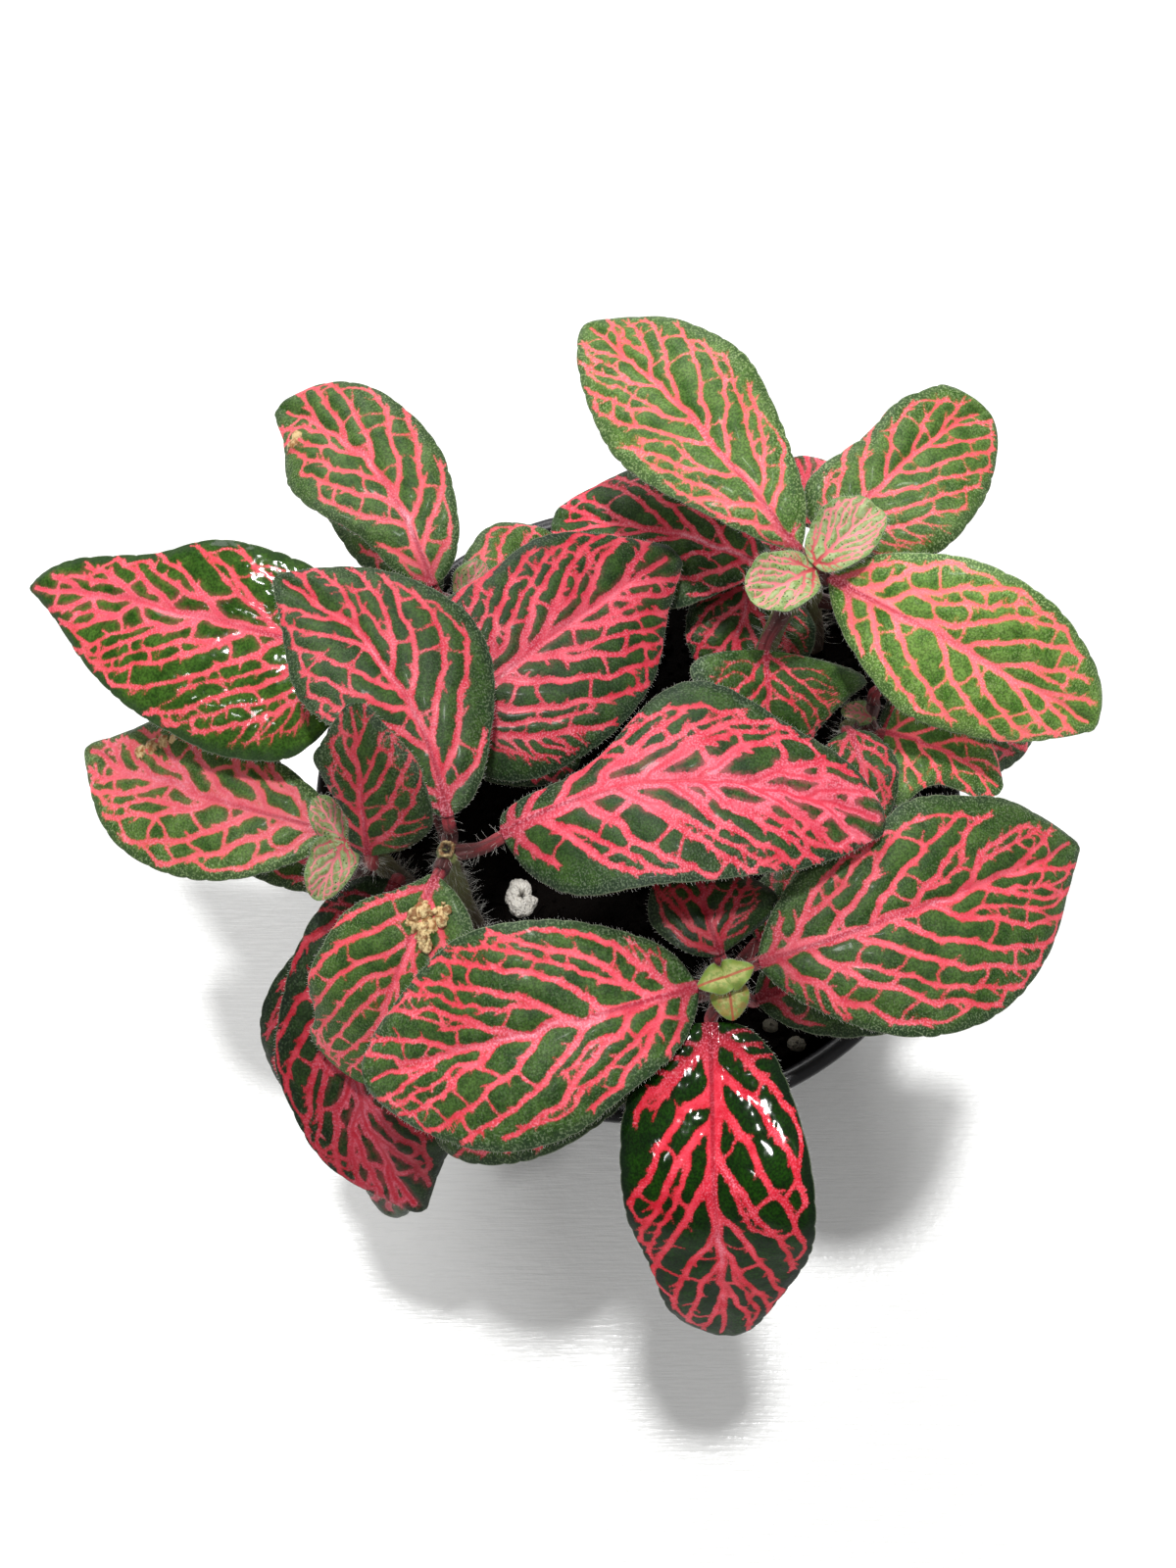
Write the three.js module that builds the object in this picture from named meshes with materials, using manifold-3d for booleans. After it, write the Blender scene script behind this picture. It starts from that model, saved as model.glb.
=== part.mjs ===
// A nerve plant (Fittonia) in a round black nursery pot.
// Millimetres, +Z up. The origin is the middle of the pot's underside, and -Y is the front.
import * as THREE from "three";
import { mergeVertices } from "three/addons/utils/BufferGeometryUtils.js";
import Module from "manifold-3d";

// ---- driving dimensions ----
const GAP = 0.3; // clearance between pieces that touch

const POT = {
  rimRadius: 45,
  mouthRadius: 42.4,
  height: 72,
  collarHeight: 9,
  shoulderRadius: 42.8,
  baseRadius: 32,
  wall: 1.2,
  floor: 1.6,
  sides: 36,
};
const DRAIN = { count: 8, circle: 22, radius: 3, sides: 12 };
const SOIL = { top: 66, relief: 0.8, rings: 6, seed: 11 };

const BLADE = { thickness: 0.7, fold: 12, curl: 0.25, wave: 0.6, waves: 1.5 };
const ACROSS = [-1, -0.5, 0, 0.5, 1];
const ALONG = [0.02, 0.13, 0.31, 0.5, 0.69, 0.87, 0.98];
const STALK = { radius: 0.9, sides: 6, steps: 3, clear: 0.8, sink: 0.7, reach: 0.16 };
const STEM = { sides: 8, tipScale: 0.75, swell: 1.25, stepsPerSpan: 3 };
const FIRST_NODE = 2; // the route point of a stem that is its lowest leaf node
const GRAIN_LIFT = 0.15; // of a grain's size, its middle above the soil

// Leafy stems: radius at the soil, and the points the stem grows through, from the bottom of
// its hole. The points from number 2 on are its leaf nodes.
const STEMS = {
  back_right: {
    radius: 1.5,
    route: [[15, 8, 58], [15, 8.5, 68], [16, 14, 86], [19, 19, 95.5], [21.8, 20.5, 103]],
  },
  back: {
    radius: 1.4,
    route: [[26, 25, 58], [26, 25.5, 68], [24.5, 27, 79], [25, 30, 85]],
  },
  right: {
    radius: 1.4,
    route: [[29, 6, 58], [29, 6.5, 68], [29, 8, 78], [30.5, 7, 84]],
  },
  centre: {
    radius: 1.6,
    route: [[-21, -20, 58], [-21.5, -19.5, 68], [-24, -16.5, 86], [-24.3, -15.5, 98]],
  },
  left_back: {
    radius: 1.4,
    route: [[-28, 8, 58], [-28.5, 8.5, 68], [-30, 10, 80], [-31, 10.5, 89]],
  },
  back_left: {
    radius: 1.4,
    route: [[-20, 18, 58], [-20.5, 18.5, 68], [-25, 20.5, 82], [-24, 21, 90]],
  },
  left: {
    radius: 1.4,
    route: [[-31, -12, 58], [-31.5, -12, 68], [-34, -12.5, 82], [-37, -13.5, 95]],
  },
  front_left: {
    radius: 1.4,
    route: [[-27, -21, 58], [-27, -21, 68], [-28.5, -20.5, 74], [-30, -18.5, 80]],
  },
  front: {
    radius: 1.5,
    route: [[10, -24, 58], [10, -25, 68], [9.5, -29.5, 86], [9.3, -31.5, 95], [9.3, -33.4, 102]],
  },
};

// Leaves. from: the stem and the number of the route point it grows at. base and tip: the ends of
// the blade. arch: how far the midrib rises above the line from base to tip. bow: how far it bends
// to the right. left and right: half widths. widest: where, from base to tip. full: 0.5 for an
// ellipse, more for a pointed blade. roll: degrees, right margin up. fold: degrees that each half
// rises from the midrib. curl: how much the margins turn down again.
const LEAVES = {
  back_right_1: {
    from: ["back_right", 4], base: [20, 22.5, 104], tip: [-7.5, 60, 97],
    arch: 5, bow: -0.5, left: 10.5, right: 10.5, widest: 0.52, full: 0.86, roll: 7,
  },
  back_right_2: {
    from: ["back_right", 4], base: [23.5, 19, 104], tip: [58.5, 2.5, 94],
    arch: 5, bow: 2, left: 11, right: 10.5, widest: 0.47, full: 0.77, roll: -30,
  },
  back_right_3: {
    from: ["back_right", 3], base: [24.5, 25.5, 100], tip: [46, 45, 100],
    arch: 3, bow: -1.5, left: 7.5, right: 11.5, widest: 0.42, full: 0.48, roll: 0,
  },
  back_right_4: {
    from: ["back_right", 3], base: [16, 12.5, 95.5], tip: [19, -2, 87],
    arch: 2, bow: 1, left: 10.5, right: 10.5, widest: 0.4, full: 0.42, roll: 8,
  },
  back_right_5: {
    from: ["back_right", 4], base: [20.5, 17.5, 106.5], tip: [13.5, 14, 108],
    arch: 0.5, bow: 0, left: 3.8, right: 3.8, widest: 0.5, full: 0.5, roll: 0,
  },
  back_right_6: {
    from: ["back_right", 4], base: [23.5, 21.5, 107], tip: [29, 26.5, 109],
    arch: 0.5, bow: 0, left: 4, right: 4, widest: 0.5, full: 0.5, roll: 0,
  },
  back_1: {
    from: ["back", 3], base: [20, 27.5, 86], tip: [-12, 38, 82],
    arch: 3, bow: 0.5, left: 12.5, right: 9.5, widest: 0.6, full: 0.8, roll: -4,
  },
  back_2: {
    from: ["back", 2], base: [29, 26, 82], tip: [50, 18, 78],
    arch: 3, bow: 0, left: 9, right: 9, widest: 0.45, full: 0.6, roll: 0,
  },
  back_3: {
    from: ["back", 3], base: [24.5, 33, 89], tip: [21.5, 43, 91],
    arch: 1, bow: 0, left: 4.5, right: 4.5, widest: 0.5, full: 0.6, roll: 0,
  },
  back_4: {
    from: ["back", 2], base: [21, 33, 77], tip: [6, 56, 71],
    arch: 3, bow: 0, left: 9, right: 9, widest: 0.5, full: 0.6, roll: 0,
  },
  back_5: {
    from: ["back", 2], base: [16, 29, 81], tip: [12, 15, 77],
    arch: 2, bow: 0, left: 10.5, right: 7.5, widest: 0.45, full: 0.45, roll: 0,
  },
  right_1: {
    from: ["right", 3], base: [32, 3.5, 89], tip: [47.5, -3.5, 86],
    arch: 2, bow: -0.5, left: 7.5, right: 7, widest: 0.35, full: 0.5, roll: -5,
  },
  right_2: {
    from: ["right", 3], base: [31.5, 10, 88], tip: [40, 14, 87],
    arch: 1, bow: 0, left: 5, right: 5, widest: 0.45, full: 0.55, roll: 0,
  },
  right_3: {
    from: ["right", 3], base: [27, 3, 91], tip: [30, -10, 91],
    arch: 1.5, bow: 0, left: 4.5, right: 4.5, widest: 0.4, full: 0.5, roll: 0,
  },
  right_4: {
    from: ["right", 2], base: [33, 7, 78], tip: [56, 11, 71],
    arch: 3, bow: 0, left: 8, right: 8, widest: 0.45, full: 0.6, roll: 0,
  },
  centre_1: {
    from: ["centre", 3], base: [-24, -12.5, 103], tip: [-47, 19.5, 103],
    arch: 3, bow: 4.5, left: 11, right: 11.5, widest: 0.48, full: 0.83, roll: -6,
  },
  centre_2: {
    from: ["centre", 3], base: [-17.5, -14.5, 103], tip: [29, -14, 104],
    arch: 6, bow: -4.5, left: 11.5, right: 13.5, widest: 0.46, full: 0.59, roll: 10,
  },
  centre_3: {
    from: ["centre", 3], base: [-25.5, -18.5, 99], tip: [-35.5, -41.5, 82],
    arch: 4, bow: 0, left: 10.5, right: 13, widest: 0.55, full: 0.68, roll: -4,
  },
  centre_4: {
    from: ["centre", 2], base: [-26.5, 1, 97], tip: [5, 28, 92],
    arch: 4, bow: 0.5, left: 13.5, right: 15, widest: 0.34, full: 0.47, roll: -10,
  },
  left_back_1: {
    from: ["left_back", 3], base: [-36, 10.5, 97], tip: [-82, 24, 90],
    arch: 4, bow: -0.5, left: 16, right: 10.5, widest: 0.32, full: 0.68, roll: 10,
  },
  left_back_2: {
    from: ["left_back", 2], base: [-26, 8, 83], tip: [-8, 3, 78],
    arch: 2, bow: 0, left: 7, right: 7, widest: 0.45, full: 0.6, roll: 0,
  },
  left_back_3: {
    from: ["left_back", 2], base: [-35, 13, 82], tip: [-62, 24, 75],
    arch: 3, bow: 0, left: 9, right: 9, widest: 0.45, full: 0.6, roll: 0,
  },
  back_left_1: {
    from: ["back_left", 3], base: [-27.5, 22.5, 93], tip: [-50, 51, 90],
    arch: 4, bow: 3.5, left: 9, right: 10, widest: 0.53, full: 0.65, roll: 2,
  },
  back_left_2: {
    from: ["back_left", 2], base: [-22, 24, 84], tip: [-12, 37.5, 78],
    arch: 1, bow: -1, left: 6, right: 7, widest: 0.5, full: 0.55, roll: 0,
  },
  back_left_3: {
    from: ["back_left", 2], base: [-29, 25, 79], tip: [-45, 46, 74],
    arch: 2, bow: 1.5, left: 5, right: 6, widest: 0.5, full: 0.6, roll: 0,
  },
  left_1: {
    from: ["left", 2], base: [-38.5, -10, 88], tip: [-75.5, 4.5, 80],
    arch: 4, bow: -2, left: 11, right: 9.5, widest: 0.48, full: 0.9, roll: 7,
  },
  left_2: {
    from: ["left", 3], base: [-33.5, -17, 103], tip: [-34.5, -1.5, 114],
    arch: 1.5, bow: 0, left: 5, right: 8.5, widest: 0.42, full: 0.48, roll: 10,
  },
  left_3: {
    from: ["left", 2], base: [-39, -14, 76.5], tip: [-63, 0.5, 71.5],
    arch: 2, bow: 0, left: 5.5, right: 5, widest: 0.5, full: 0.6, roll: 0,
  },
  front_left_1: {
    from: ["front_left", 3], base: [-32, -15.5, 85], tip: [-29, -55.5, 62],
    arch: 6, bow: 7, left: 13, right: 11, widest: 0.38, full: 0.6, roll: -4,
  },
  front_left_2: {
    from: ["front_left", 2], base: [-33, -20, 77], tip: [-46.5, -41, 62],
    arch: 5, bow: 3, left: 8, right: 7, widest: 0.45, full: 0.6, roll: 0,
  },
  front_left_3: {
    from: ["front_left", 2], base: [-27, -29, 76.5], tip: [-34.5, -55.5, 52],
    arch: 6, bow: 0.5, left: 6, right: 6, widest: 0.45, full: 0.6, roll: 0,
  },
  front_1: {
    from: ["front", 4], base: [6, -33, 102], tip: [-34.5, -42.5, 93],
    arch: 7, bow: -1.5, left: 12.5, right: 13.5, widest: 0.49, full: 0.65, roll: 10,
  },
  front_2: {
    from: ["front", 4], base: [13.5, -29.5, 99], tip: [55.5, -12.5, 92],
    arch: 5, bow: 1.5, left: 11.5, right: 15.5, widest: 0.45, full: 0.79, roll: -10,
  },
  front_3: {
    from: ["front", 4], base: [7.5, -37, 101], tip: [10.5, -72, 74],
    arch: 8, bow: 1, left: 11.5, right: 11, widest: 0.4, full: 0.49, roll: -11,
  },
  front_4: {
    from: ["front", 3], base: [9, -28.5, 99], tip: [7, -15, 97],
    arch: 2, bow: -1, left: 6.5, right: 7.5, widest: 0.5, full: 0.57, roll: 0,
  },
  front_5: {
    from: ["front", 2], base: [14.5, -24.5, 89], tip: [23, -15, 88],
    arch: 1, bow: 0, left: 5, right: 5, widest: 0.5, full: 0.6, roll: 0,
  },
  front_6: {
    from: ["front", 3], base: [3, -34, 92], tip: [-27, -47, 76],
    arch: 4, bow: -1, left: 8.5, right: 9.5, widest: 0.5, full: 0.6, roll: 0,
  },
  front_7: {
    from: ["front", 2], base: [14.5, -31, 84], tip: [45, -22, 76],
    arch: 4, bow: 0, left: 9, right: 9, widest: 0.5, full: 0.6, roll: 0,
  },
};

// Young leaves and bracts that are one with the tip of their stem: the tip of each, and half width.
const SPROUT = { thickness: 0.6, arch: 0.6, bow: 0, widest: 0.5, full: 0.6, roll: 0 };
const SPROUTS = [
  { on: "front", tip: [13, -33, 106], half: 1.6 },
  { on: "front", tip: [6, -34.5, 105.5], half: 1.6 },
  { on: "front", tip: [9.5, -30.5, 105.5], half: 1.4 },
  { on: "front", tip: [10, -37.5, 104.5], half: 1.4 },
  { on: "left", tip: [-41.5, -9.5, 98], half: 2 },
  { on: "left", tip: [-41, -19, 96], half: 2.4 },
  { on: "back_left", tip: [-22.5, 23.5, 94], half: 1.6 },
  { on: "back_left", tip: [-26, 18.5, 93], half: 1.4 },
  { on: "back", tip: [27.5, 29, 89], half: 1.6 },
  { on: "right", tip: [26.5, 7, 88], half: 1.6 },
  { on: "left_back", tip: [-29.5, 13.5, 91], half: 1.6 },
  { on: "front_left", tip: [-32.5, -21, 83], half: 1.6 },
];

// White perlite grains on the soil: place and size across.
const GRAINS = [
  { at: [-16.3, -13], size: 4.6 },
  { at: [-25.5, -9.5], size: 2.6 },
  { at: [18, -31], size: 2 },
  { at: [21.5, -33.5], size: 2.2 },
  { at: [-2, 33], size: 3.4 },
  { at: [33, -20], size: 3 },
];

// ---- materials ----
const finish = (color, roughness) => new THREE.MeshStandardMaterial({ color, roughness, metalness: 0 });
const MATERIALS = {
  pot: finish(0x1b1b1d, 0.42),
  soil: finish(0x17110d, 0.95),
  perlite: finish(0xe9e6df, 0.9),
  stem: finish(0x8d7a5c, 0.6),
  leaf: finish(0x9a4450, 0.5),
};

// ---- small tools ----
const wasm = await Module();
wasm.setup();

const vec = ([x, y, z]) => new THREE.Vector3(x, y, z);
const UP = new THREE.Vector3(0, 0, 1);

// A repeatable run of numbers from 0 to 1.
function seeded(seed) {
  let state = seed;
  return () => {
    state = (state * 1664525 + 1013904223) % 4294967296;
    return state / 4294967296;
  };
}

function toSolid(geometry) {
  const bare = geometry.clone();
  bare.deleteAttribute("normal");
  bare.deleteAttribute("uv");
  const merged = mergeVertices(bare, 1e-4);
  return new wasm.Manifold(
    new wasm.Mesh({
      numProp: 3,
      vertProperties: merged.attributes.position.array,
      triVerts: new Uint32Array(merged.index.array),
    }),
  );
}

function toGeometry(solid) {
  const mesh = solid.getMesh();
  const geometry = new THREE.BufferGeometry();
  geometry.setAttribute("position", new THREE.BufferAttribute(mesh.vertProperties, 3));
  geometry.setIndex(new THREE.BufferAttribute(mesh.triVerts, 1));
  geometry.computeVertexNormals();
  return geometry;
}

// A closed skin over rings of points, with flat ends. The rings have the same even count and turn
// right-handed round the way they advance. mirrored(i) turns the diagonals of the quads from point i.
function loft(rings, mirrored = () => false) {
  const count = rings[0].length;
  const last = (rings.length - 1) * count;
  const faces = [];
  for (let k = 0; k + 1 < rings.length; k += 1) {
    for (let i = 0; i < count; i += 1) {
      const a = k * count + i;
      const b = k * count + ((i + 1) % count);
      const c = a + count;
      const d = b + count;
      if (mirrored(i)) faces.push(a, b, c, b, d, c);
      else faces.push(a, b, d, a, d, c);
    }
  }
  for (let i = 0; i < count / 2 - 1; i += 1) {
    const j = count - 1 - i;
    faces.push(i, j, j - 1, i, j - 1, i + 1);
    faces.push(last + i, last + i + 1, last + j - 1, last + i, last + j - 1, last + j);
  }
  const coordinates = rings.flat().flatMap((point) => point.toArray());
  const geometry = new THREE.BufferGeometry();
  geometry.setAttribute("position", new THREE.Float32BufferAttribute(coordinates, 3));
  geometry.setIndex(faces);
  return geometry;
}

// A round tube through points, with a radius at each of them.
function tube(points, radii, sides) {
  const span = points.at(-1).clone().sub(points[0]).normalize();
  const across = Math.abs(span.z) > 0.7 ? new THREE.Vector3(0, 1, 0) : UP;
  const rings = points.map((point, i) => {
    const before = points[Math.max(i - 1, 0)];
    const after = points[Math.min(i + 1, points.length - 1)];
    const along = after.clone().sub(before).normalize();
    const first = across.clone().addScaledVector(along, -across.dot(along)).normalize();
    const second = along.clone().cross(first);
    return Array.from({ length: sides }, (_, k) => {
      const angle = (2 * Math.PI * (k + 0.5)) / sides;
      return point
        .clone()
        .addScaledVector(first, radii[i] * Math.cos(angle))
        .addScaledVector(second, radii[i] * Math.sin(angle));
    });
  });
  return loft(rings);
}

// ---- leaves ----
// The half width of a blade at s, as a share of its widest.
function profile(leaf, s) {
  const m = leaf.widest;
  return (s / m) ** (2 * leaf.full * m) * ((1 - s) / (1 - m)) ** (2 * leaf.full * (1 - m));
}

// The midrib at s, from 0 at the base to 1 at the tip, with the blade's right and upward directions.
function midrib(leaf, s) {
  const chord = vec(leaf.tip).sub(vec(leaf.base));
  const length = chord.length();
  const along = chord.clone().normalize();
  const right = along.clone().cross(UP).normalize();
  const up = right.clone().cross(along);
  const hump = 4 * s * (1 - s);
  const slope = 4 * (1 - 2 * s);
  const point = vec(leaf.base)
    .addScaledVector(along, length * s)
    .addScaledVector(up, leaf.arch * hump)
    .addScaledVector(right, leaf.bow * hump);
  const tangent = along
    .clone()
    .multiplyScalar(length)
    .addScaledVector(up, leaf.arch * slope)
    .addScaledVector(right, leaf.bow * slope)
    .normalize();
  const side = tangent.clone().cross(up).normalize();
  const top = side.clone().cross(tangent);
  const roll = THREE.MathUtils.degToRad(leaf.roll);
  const across = side.clone().multiplyScalar(Math.cos(roll)).addScaledVector(top, Math.sin(roll));
  return { point, tangent, across, normal: across.clone().cross(tangent) };
}

// A point of the blade's middle surface. v runs from -1 at the left margin to 1 at the right.
function bladePoint(leaf, s, v) {
  const rib = midrib(leaf, s);
  const half = (v < 0 ? leaf.left : leaf.right) * profile(leaf, s);
  const rise = Math.tan(THREE.MathUtils.degToRad(BLADE.fold)) * Math.abs(v) - BLADE.curl * v * v;
  const turns = BLADE.waves * s + (v < 0 ? 0.5 : 0) + leaf.tip[0] / 10;
  const ripple = BLADE.wave * v * v * profile(leaf, s) * Math.sin(2 * Math.PI * turns);
  return {
    point: rib.point.addScaledVector(rib.across, half * v).addScaledVector(rib.normal, half * rise + ripple),
    normal: rib.normal,
  };
}

function blade(leaf, thickness) {
  const shifted = (s, v, sign) => {
    const { point, normal } = bladePoint(leaf, s, v);
    return point.addScaledVector(normal, (sign * thickness) / 2);
  };
  const rings = ALONG.map((s) => [
    ...ACROSS.map((v) => shifted(s, v, 1)),
    ...ACROSS.toReversed().map((v) => shifted(s, v, -1)),
  ]);
  return toSolid(loft(rings, (i) => i >= ACROSS.length));
}

// The stalk grows out of the stem's node, meets the base of the blade and runs on under its midrib.
function stalk(leaf, node, nodeRadius) {
  const start = midrib(leaf, 0);
  const foot = start.point.clone().addScaledVector(start.normal, -STALK.sink);
  const outward = foot.clone().sub(node).setZ(0).normalize();
  const root = node.clone().addScaledVector(outward, nodeRadius + STALK.clear);
  const pull = root.distanceTo(foot) / 3;
  const curve = new THREE.CubicBezierCurve3(
    root,
    root.clone().addScaledVector(outward, pull),
    foot.clone().addScaledVector(start.tangent, -pull),
    foot,
  );
  const points = curve.getPoints(STALK.steps);
  for (const s of [STALK.reach / 2, STALK.reach]) {
    const rib = midrib(leaf, s);
    points.push(rib.point.addScaledVector(rib.normal, -STALK.sink));
  }
  const radii = points.map((_, i) => (i < points.length - 1 ? STALK.radius : STALK.radius / 2));
  return toSolid(tube(points, radii, STALK.sides));
}

function leafSolid(leaf) {
  const [stemKey, number] = leaf.from;
  const stem = STEMS[stemKey];
  return blade(leaf, BLADE.thickness).add(stalk(leaf, vec(stem.route[number]), nodeRadius(stem, number)));
}

// ---- stems ----
function stemRadius(stem, number) {
  return stem.radius * THREE.MathUtils.lerp(1, STEM.tipScale, number / (stem.route.length - 1));
}

function nodeRadius(stem, number) {
  return stemRadius(stem, number) * STEM.swell;
}

// The stem's points from its foot up, and the radius at each.
function stemPath(stem) {
  const curve = new THREE.CatmullRomCurve3(stem.route.map(vec));
  const spans = stem.route.length - 1;
  const steps = spans * STEM.stepsPerSpan;
  const points = curve.getPoints(steps);
  const radii = points.map((_, i) => {
    const number = i / STEM.stepsPerSpan;
    const atNode = Number.isInteger(number) && number >= FIRST_NODE;
    return atNode ? nodeRadius(stem, number) : stemRadius(stem, number);
  });
  return { points, radii };
}

function stemSolid(key) {
  const stem = STEMS[key];
  const { points, radii } = stemPath(stem);
  let solid = toSolid(tube(points, radii, STEM.sides));
  for (const sprout of SPROUTS.filter((one) => one.on === key)) {
    const young = {
      ...SPROUT,
      left: sprout.half,
      right: sprout.half,
      base: stem.route.at(-1),
      tip: sprout.tip,
    };
    solid = solid.add(blade(young, SPROUT.thickness));
  }
  return solid;
}

// ---- pot, soil and perlite ----
// Radius of the pot's inner wall at a height.
function innerRadius(z) {
  const outer = THREE.MathUtils.lerp(POT.baseRadius, POT.shoulderRadius, z / (POT.height - POT.collarHeight));
  return outer - POT.wall;
}

function potSolid() {
  const ledge = POT.height - POT.collarHeight;
  const lip = POT.wall;
  const profilePoints = [
    [0, 0],
    [POT.baseRadius - 1, 0],
    [POT.baseRadius, 1],
    [POT.shoulderRadius, ledge],
    [POT.rimRadius - lip, ledge],
    [POT.rimRadius - lip / 2, POT.height - 1.6 * lip],
    [POT.rimRadius, POT.height - lip],
    [POT.rimRadius - 0.4 * lip, POT.height],
    [POT.mouthRadius + 0.3, POT.height],
    [POT.mouthRadius, POT.height - lip / 2],
    [POT.mouthRadius - 0.2, ledge + lip],
    [innerRadius(ledge), ledge - lip],
    [innerRadius(POT.floor), POT.floor],
    [0, POT.floor],
  ];
  const wall = new THREE.LatheGeometry(
    profilePoints.map(([x, y]) => new THREE.Vector2(x, y)),
    POT.sides,
  );
  wall.rotateX(Math.PI / 2);
  let solid = toSolid(wall);
  for (let i = 0; i < DRAIN.count; i += 1) {
    const angle = (2 * Math.PI * (i + 0.5)) / DRAIN.count;
    const drill = new THREE.CylinderGeometry(DRAIN.radius, DRAIN.radius, 3 * POT.floor, DRAIN.sides);
    drill.rotateX(Math.PI / 2);
    drill.translate(DRAIN.circle * Math.cos(angle), DRAIN.circle * Math.sin(angle), POT.floor / 2);
    solid = solid.subtract(toSolid(drill));
  }
  return solid;
}

// A rough white grain, grown by extra all round.
function grainSolid({ at, size }, extra) {
  const random = seeded(Math.round(size * 100));
  const ball = new THREE.IcosahedronGeometry(size / 2, 1);
  ball.deleteAttribute("normal");
  ball.deleteAttribute("uv");
  const lump = mergeVertices(ball, 1e-4);
  const place = lump.attributes.position;
  for (let i = 0; i < place.count; i += 1) {
    const point = new THREE.Vector3().fromBufferAttribute(place, i);
    point.setLength(point.length() * (0.85 + 0.3 * random()) + extra);
    place.setXYZ(i, point.x, point.y, point.z);
  }
  lump.translate(at[0], at[1], SOIL.top + GRAIN_LIFT * size);
  return toSolid(lump);
}

function soilSolid() {
  const random = seeded(SOIL.seed);
  const ring = (radius, height) =>
    Array.from({ length: POT.sides }, (_, i) => {
      const angle = (2 * Math.PI * i) / POT.sides;
      return new THREE.Vector3(radius * Math.cos(angle), radius * Math.sin(angle), height());
    });
  const bottom = POT.floor + GAP;
  const edge = innerRadius(SOIL.top - POT.collarHeight) - GAP;
  const ledge = POT.height - POT.collarHeight - 2 * POT.wall;
  const rings = [ring(innerRadius(bottom) - GAP, () => bottom), ring(innerRadius(ledge) - GAP, () => ledge)];
  for (let k = SOIL.rings; k > 0; k -= 1) {
    const radius = (edge * k) / SOIL.rings;
    rings.push(ring(radius, () => SOIL.top + SOIL.relief * (random() - 0.5)));
  }
  let solid = toSolid(loft(rings));
  for (const stem of Object.values(STEMS)) {
    const { points } = stemPath(stem);
    const sunk = points.slice(0, STEM.stepsPerSpan + 1);
    sunk[0].z -= GAP;
    const radii = sunk.map(() => stem.radius + GAP);
    solid = solid.subtract(toSolid(tube(sunk, radii, STEM.sides)));
  }
  for (const grain of GRAINS) solid = solid.subtract(grainSolid(grain, GAP));
  return solid;
}

// ---- the plant in its pot ----
const plant = new THREE.Group();

function addPiece(name, solid, material) {
  const mesh = new THREE.Mesh(toGeometry(solid), material.clone());
  mesh.name = name;
  plant.add(mesh);
}

addPiece("pot", potSolid(), MATERIALS.pot);
addPiece("soil", soilSolid(), MATERIALS.soil);
GRAINS.forEach((grain, i) => addPiece(`perlite_${i + 1}`, grainSolid(grain, 0), MATERIALS.perlite));
for (const key of Object.keys(STEMS)) addPiece(`stem_${key}`, stemSolid(key), MATERIALS.stem);
for (const [key, leaf] of Object.entries(LEAVES)) addPiece(`leaf_${key}`, leafSolid(leaf), MATERIALS.leaf);

export default plant;
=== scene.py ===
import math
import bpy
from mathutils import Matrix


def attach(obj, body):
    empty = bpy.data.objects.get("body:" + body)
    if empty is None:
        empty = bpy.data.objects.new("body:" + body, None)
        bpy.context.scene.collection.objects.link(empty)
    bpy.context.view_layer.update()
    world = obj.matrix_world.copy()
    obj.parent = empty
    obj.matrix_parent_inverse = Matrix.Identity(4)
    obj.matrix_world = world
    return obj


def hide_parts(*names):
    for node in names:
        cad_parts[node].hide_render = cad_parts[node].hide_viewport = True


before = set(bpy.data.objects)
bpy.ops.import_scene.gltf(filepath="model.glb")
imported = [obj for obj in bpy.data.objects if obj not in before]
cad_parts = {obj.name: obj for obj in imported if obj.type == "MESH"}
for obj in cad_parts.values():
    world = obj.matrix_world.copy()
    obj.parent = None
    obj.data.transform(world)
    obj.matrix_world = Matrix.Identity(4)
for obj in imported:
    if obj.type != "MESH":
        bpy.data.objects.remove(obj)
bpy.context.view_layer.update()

# A nerve plant in a round black nursery pot, seen from above.
# Sizes are in millimetres, and turned to metres where a mesh is made. The frame is that of the solids:
# the origin is the middle of the pot's underside, +Z is up and -Y is the front.
import zlib

import bmesh
import bpy
import numpy as np
from mathutils import Vector, noise

MM = 0.001
UP = np.array([0.0, 0.0, 1.0])

# ---- sizes shared with the solids ----
# Pot: radius of the rim, its mouth, the shoulder under the collar and the base, height of the pot and the
# collar, thickness of the wall and floor.
POT = dict(rim=45, mouth=42.4, height=72, collar=9, shoulder=42.8, base=32, wall=1.2, floor=1.6)
LEDGE = POT["height"] - POT["collar"]     # height of the collar's lower edge
DRAIN = dict(count=8, circle=22, radius=3)
SOIL_TOP = 66
GAP = 0.3           # between soil and pot
# Blade: fold of the halves in degrees, curl of the margins, height and number of their waves.
BLADE = dict(fold=12, curl=0.25, wave=0.6, waves=1.5)
# Stalk: radius, distance from the stem, depth under the blade, and how far it runs under it.
STALK = dict(radius=0.9, clear=0.8, sink=0.7, reach=0.16)
STEM = dict(tip_scale=0.75, swell=1.25)     # of the radius at the tip and at each leaf node
GRAIN_LIFT = 0.15   # of a grain's middle over the soil, as a share of its size

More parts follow.
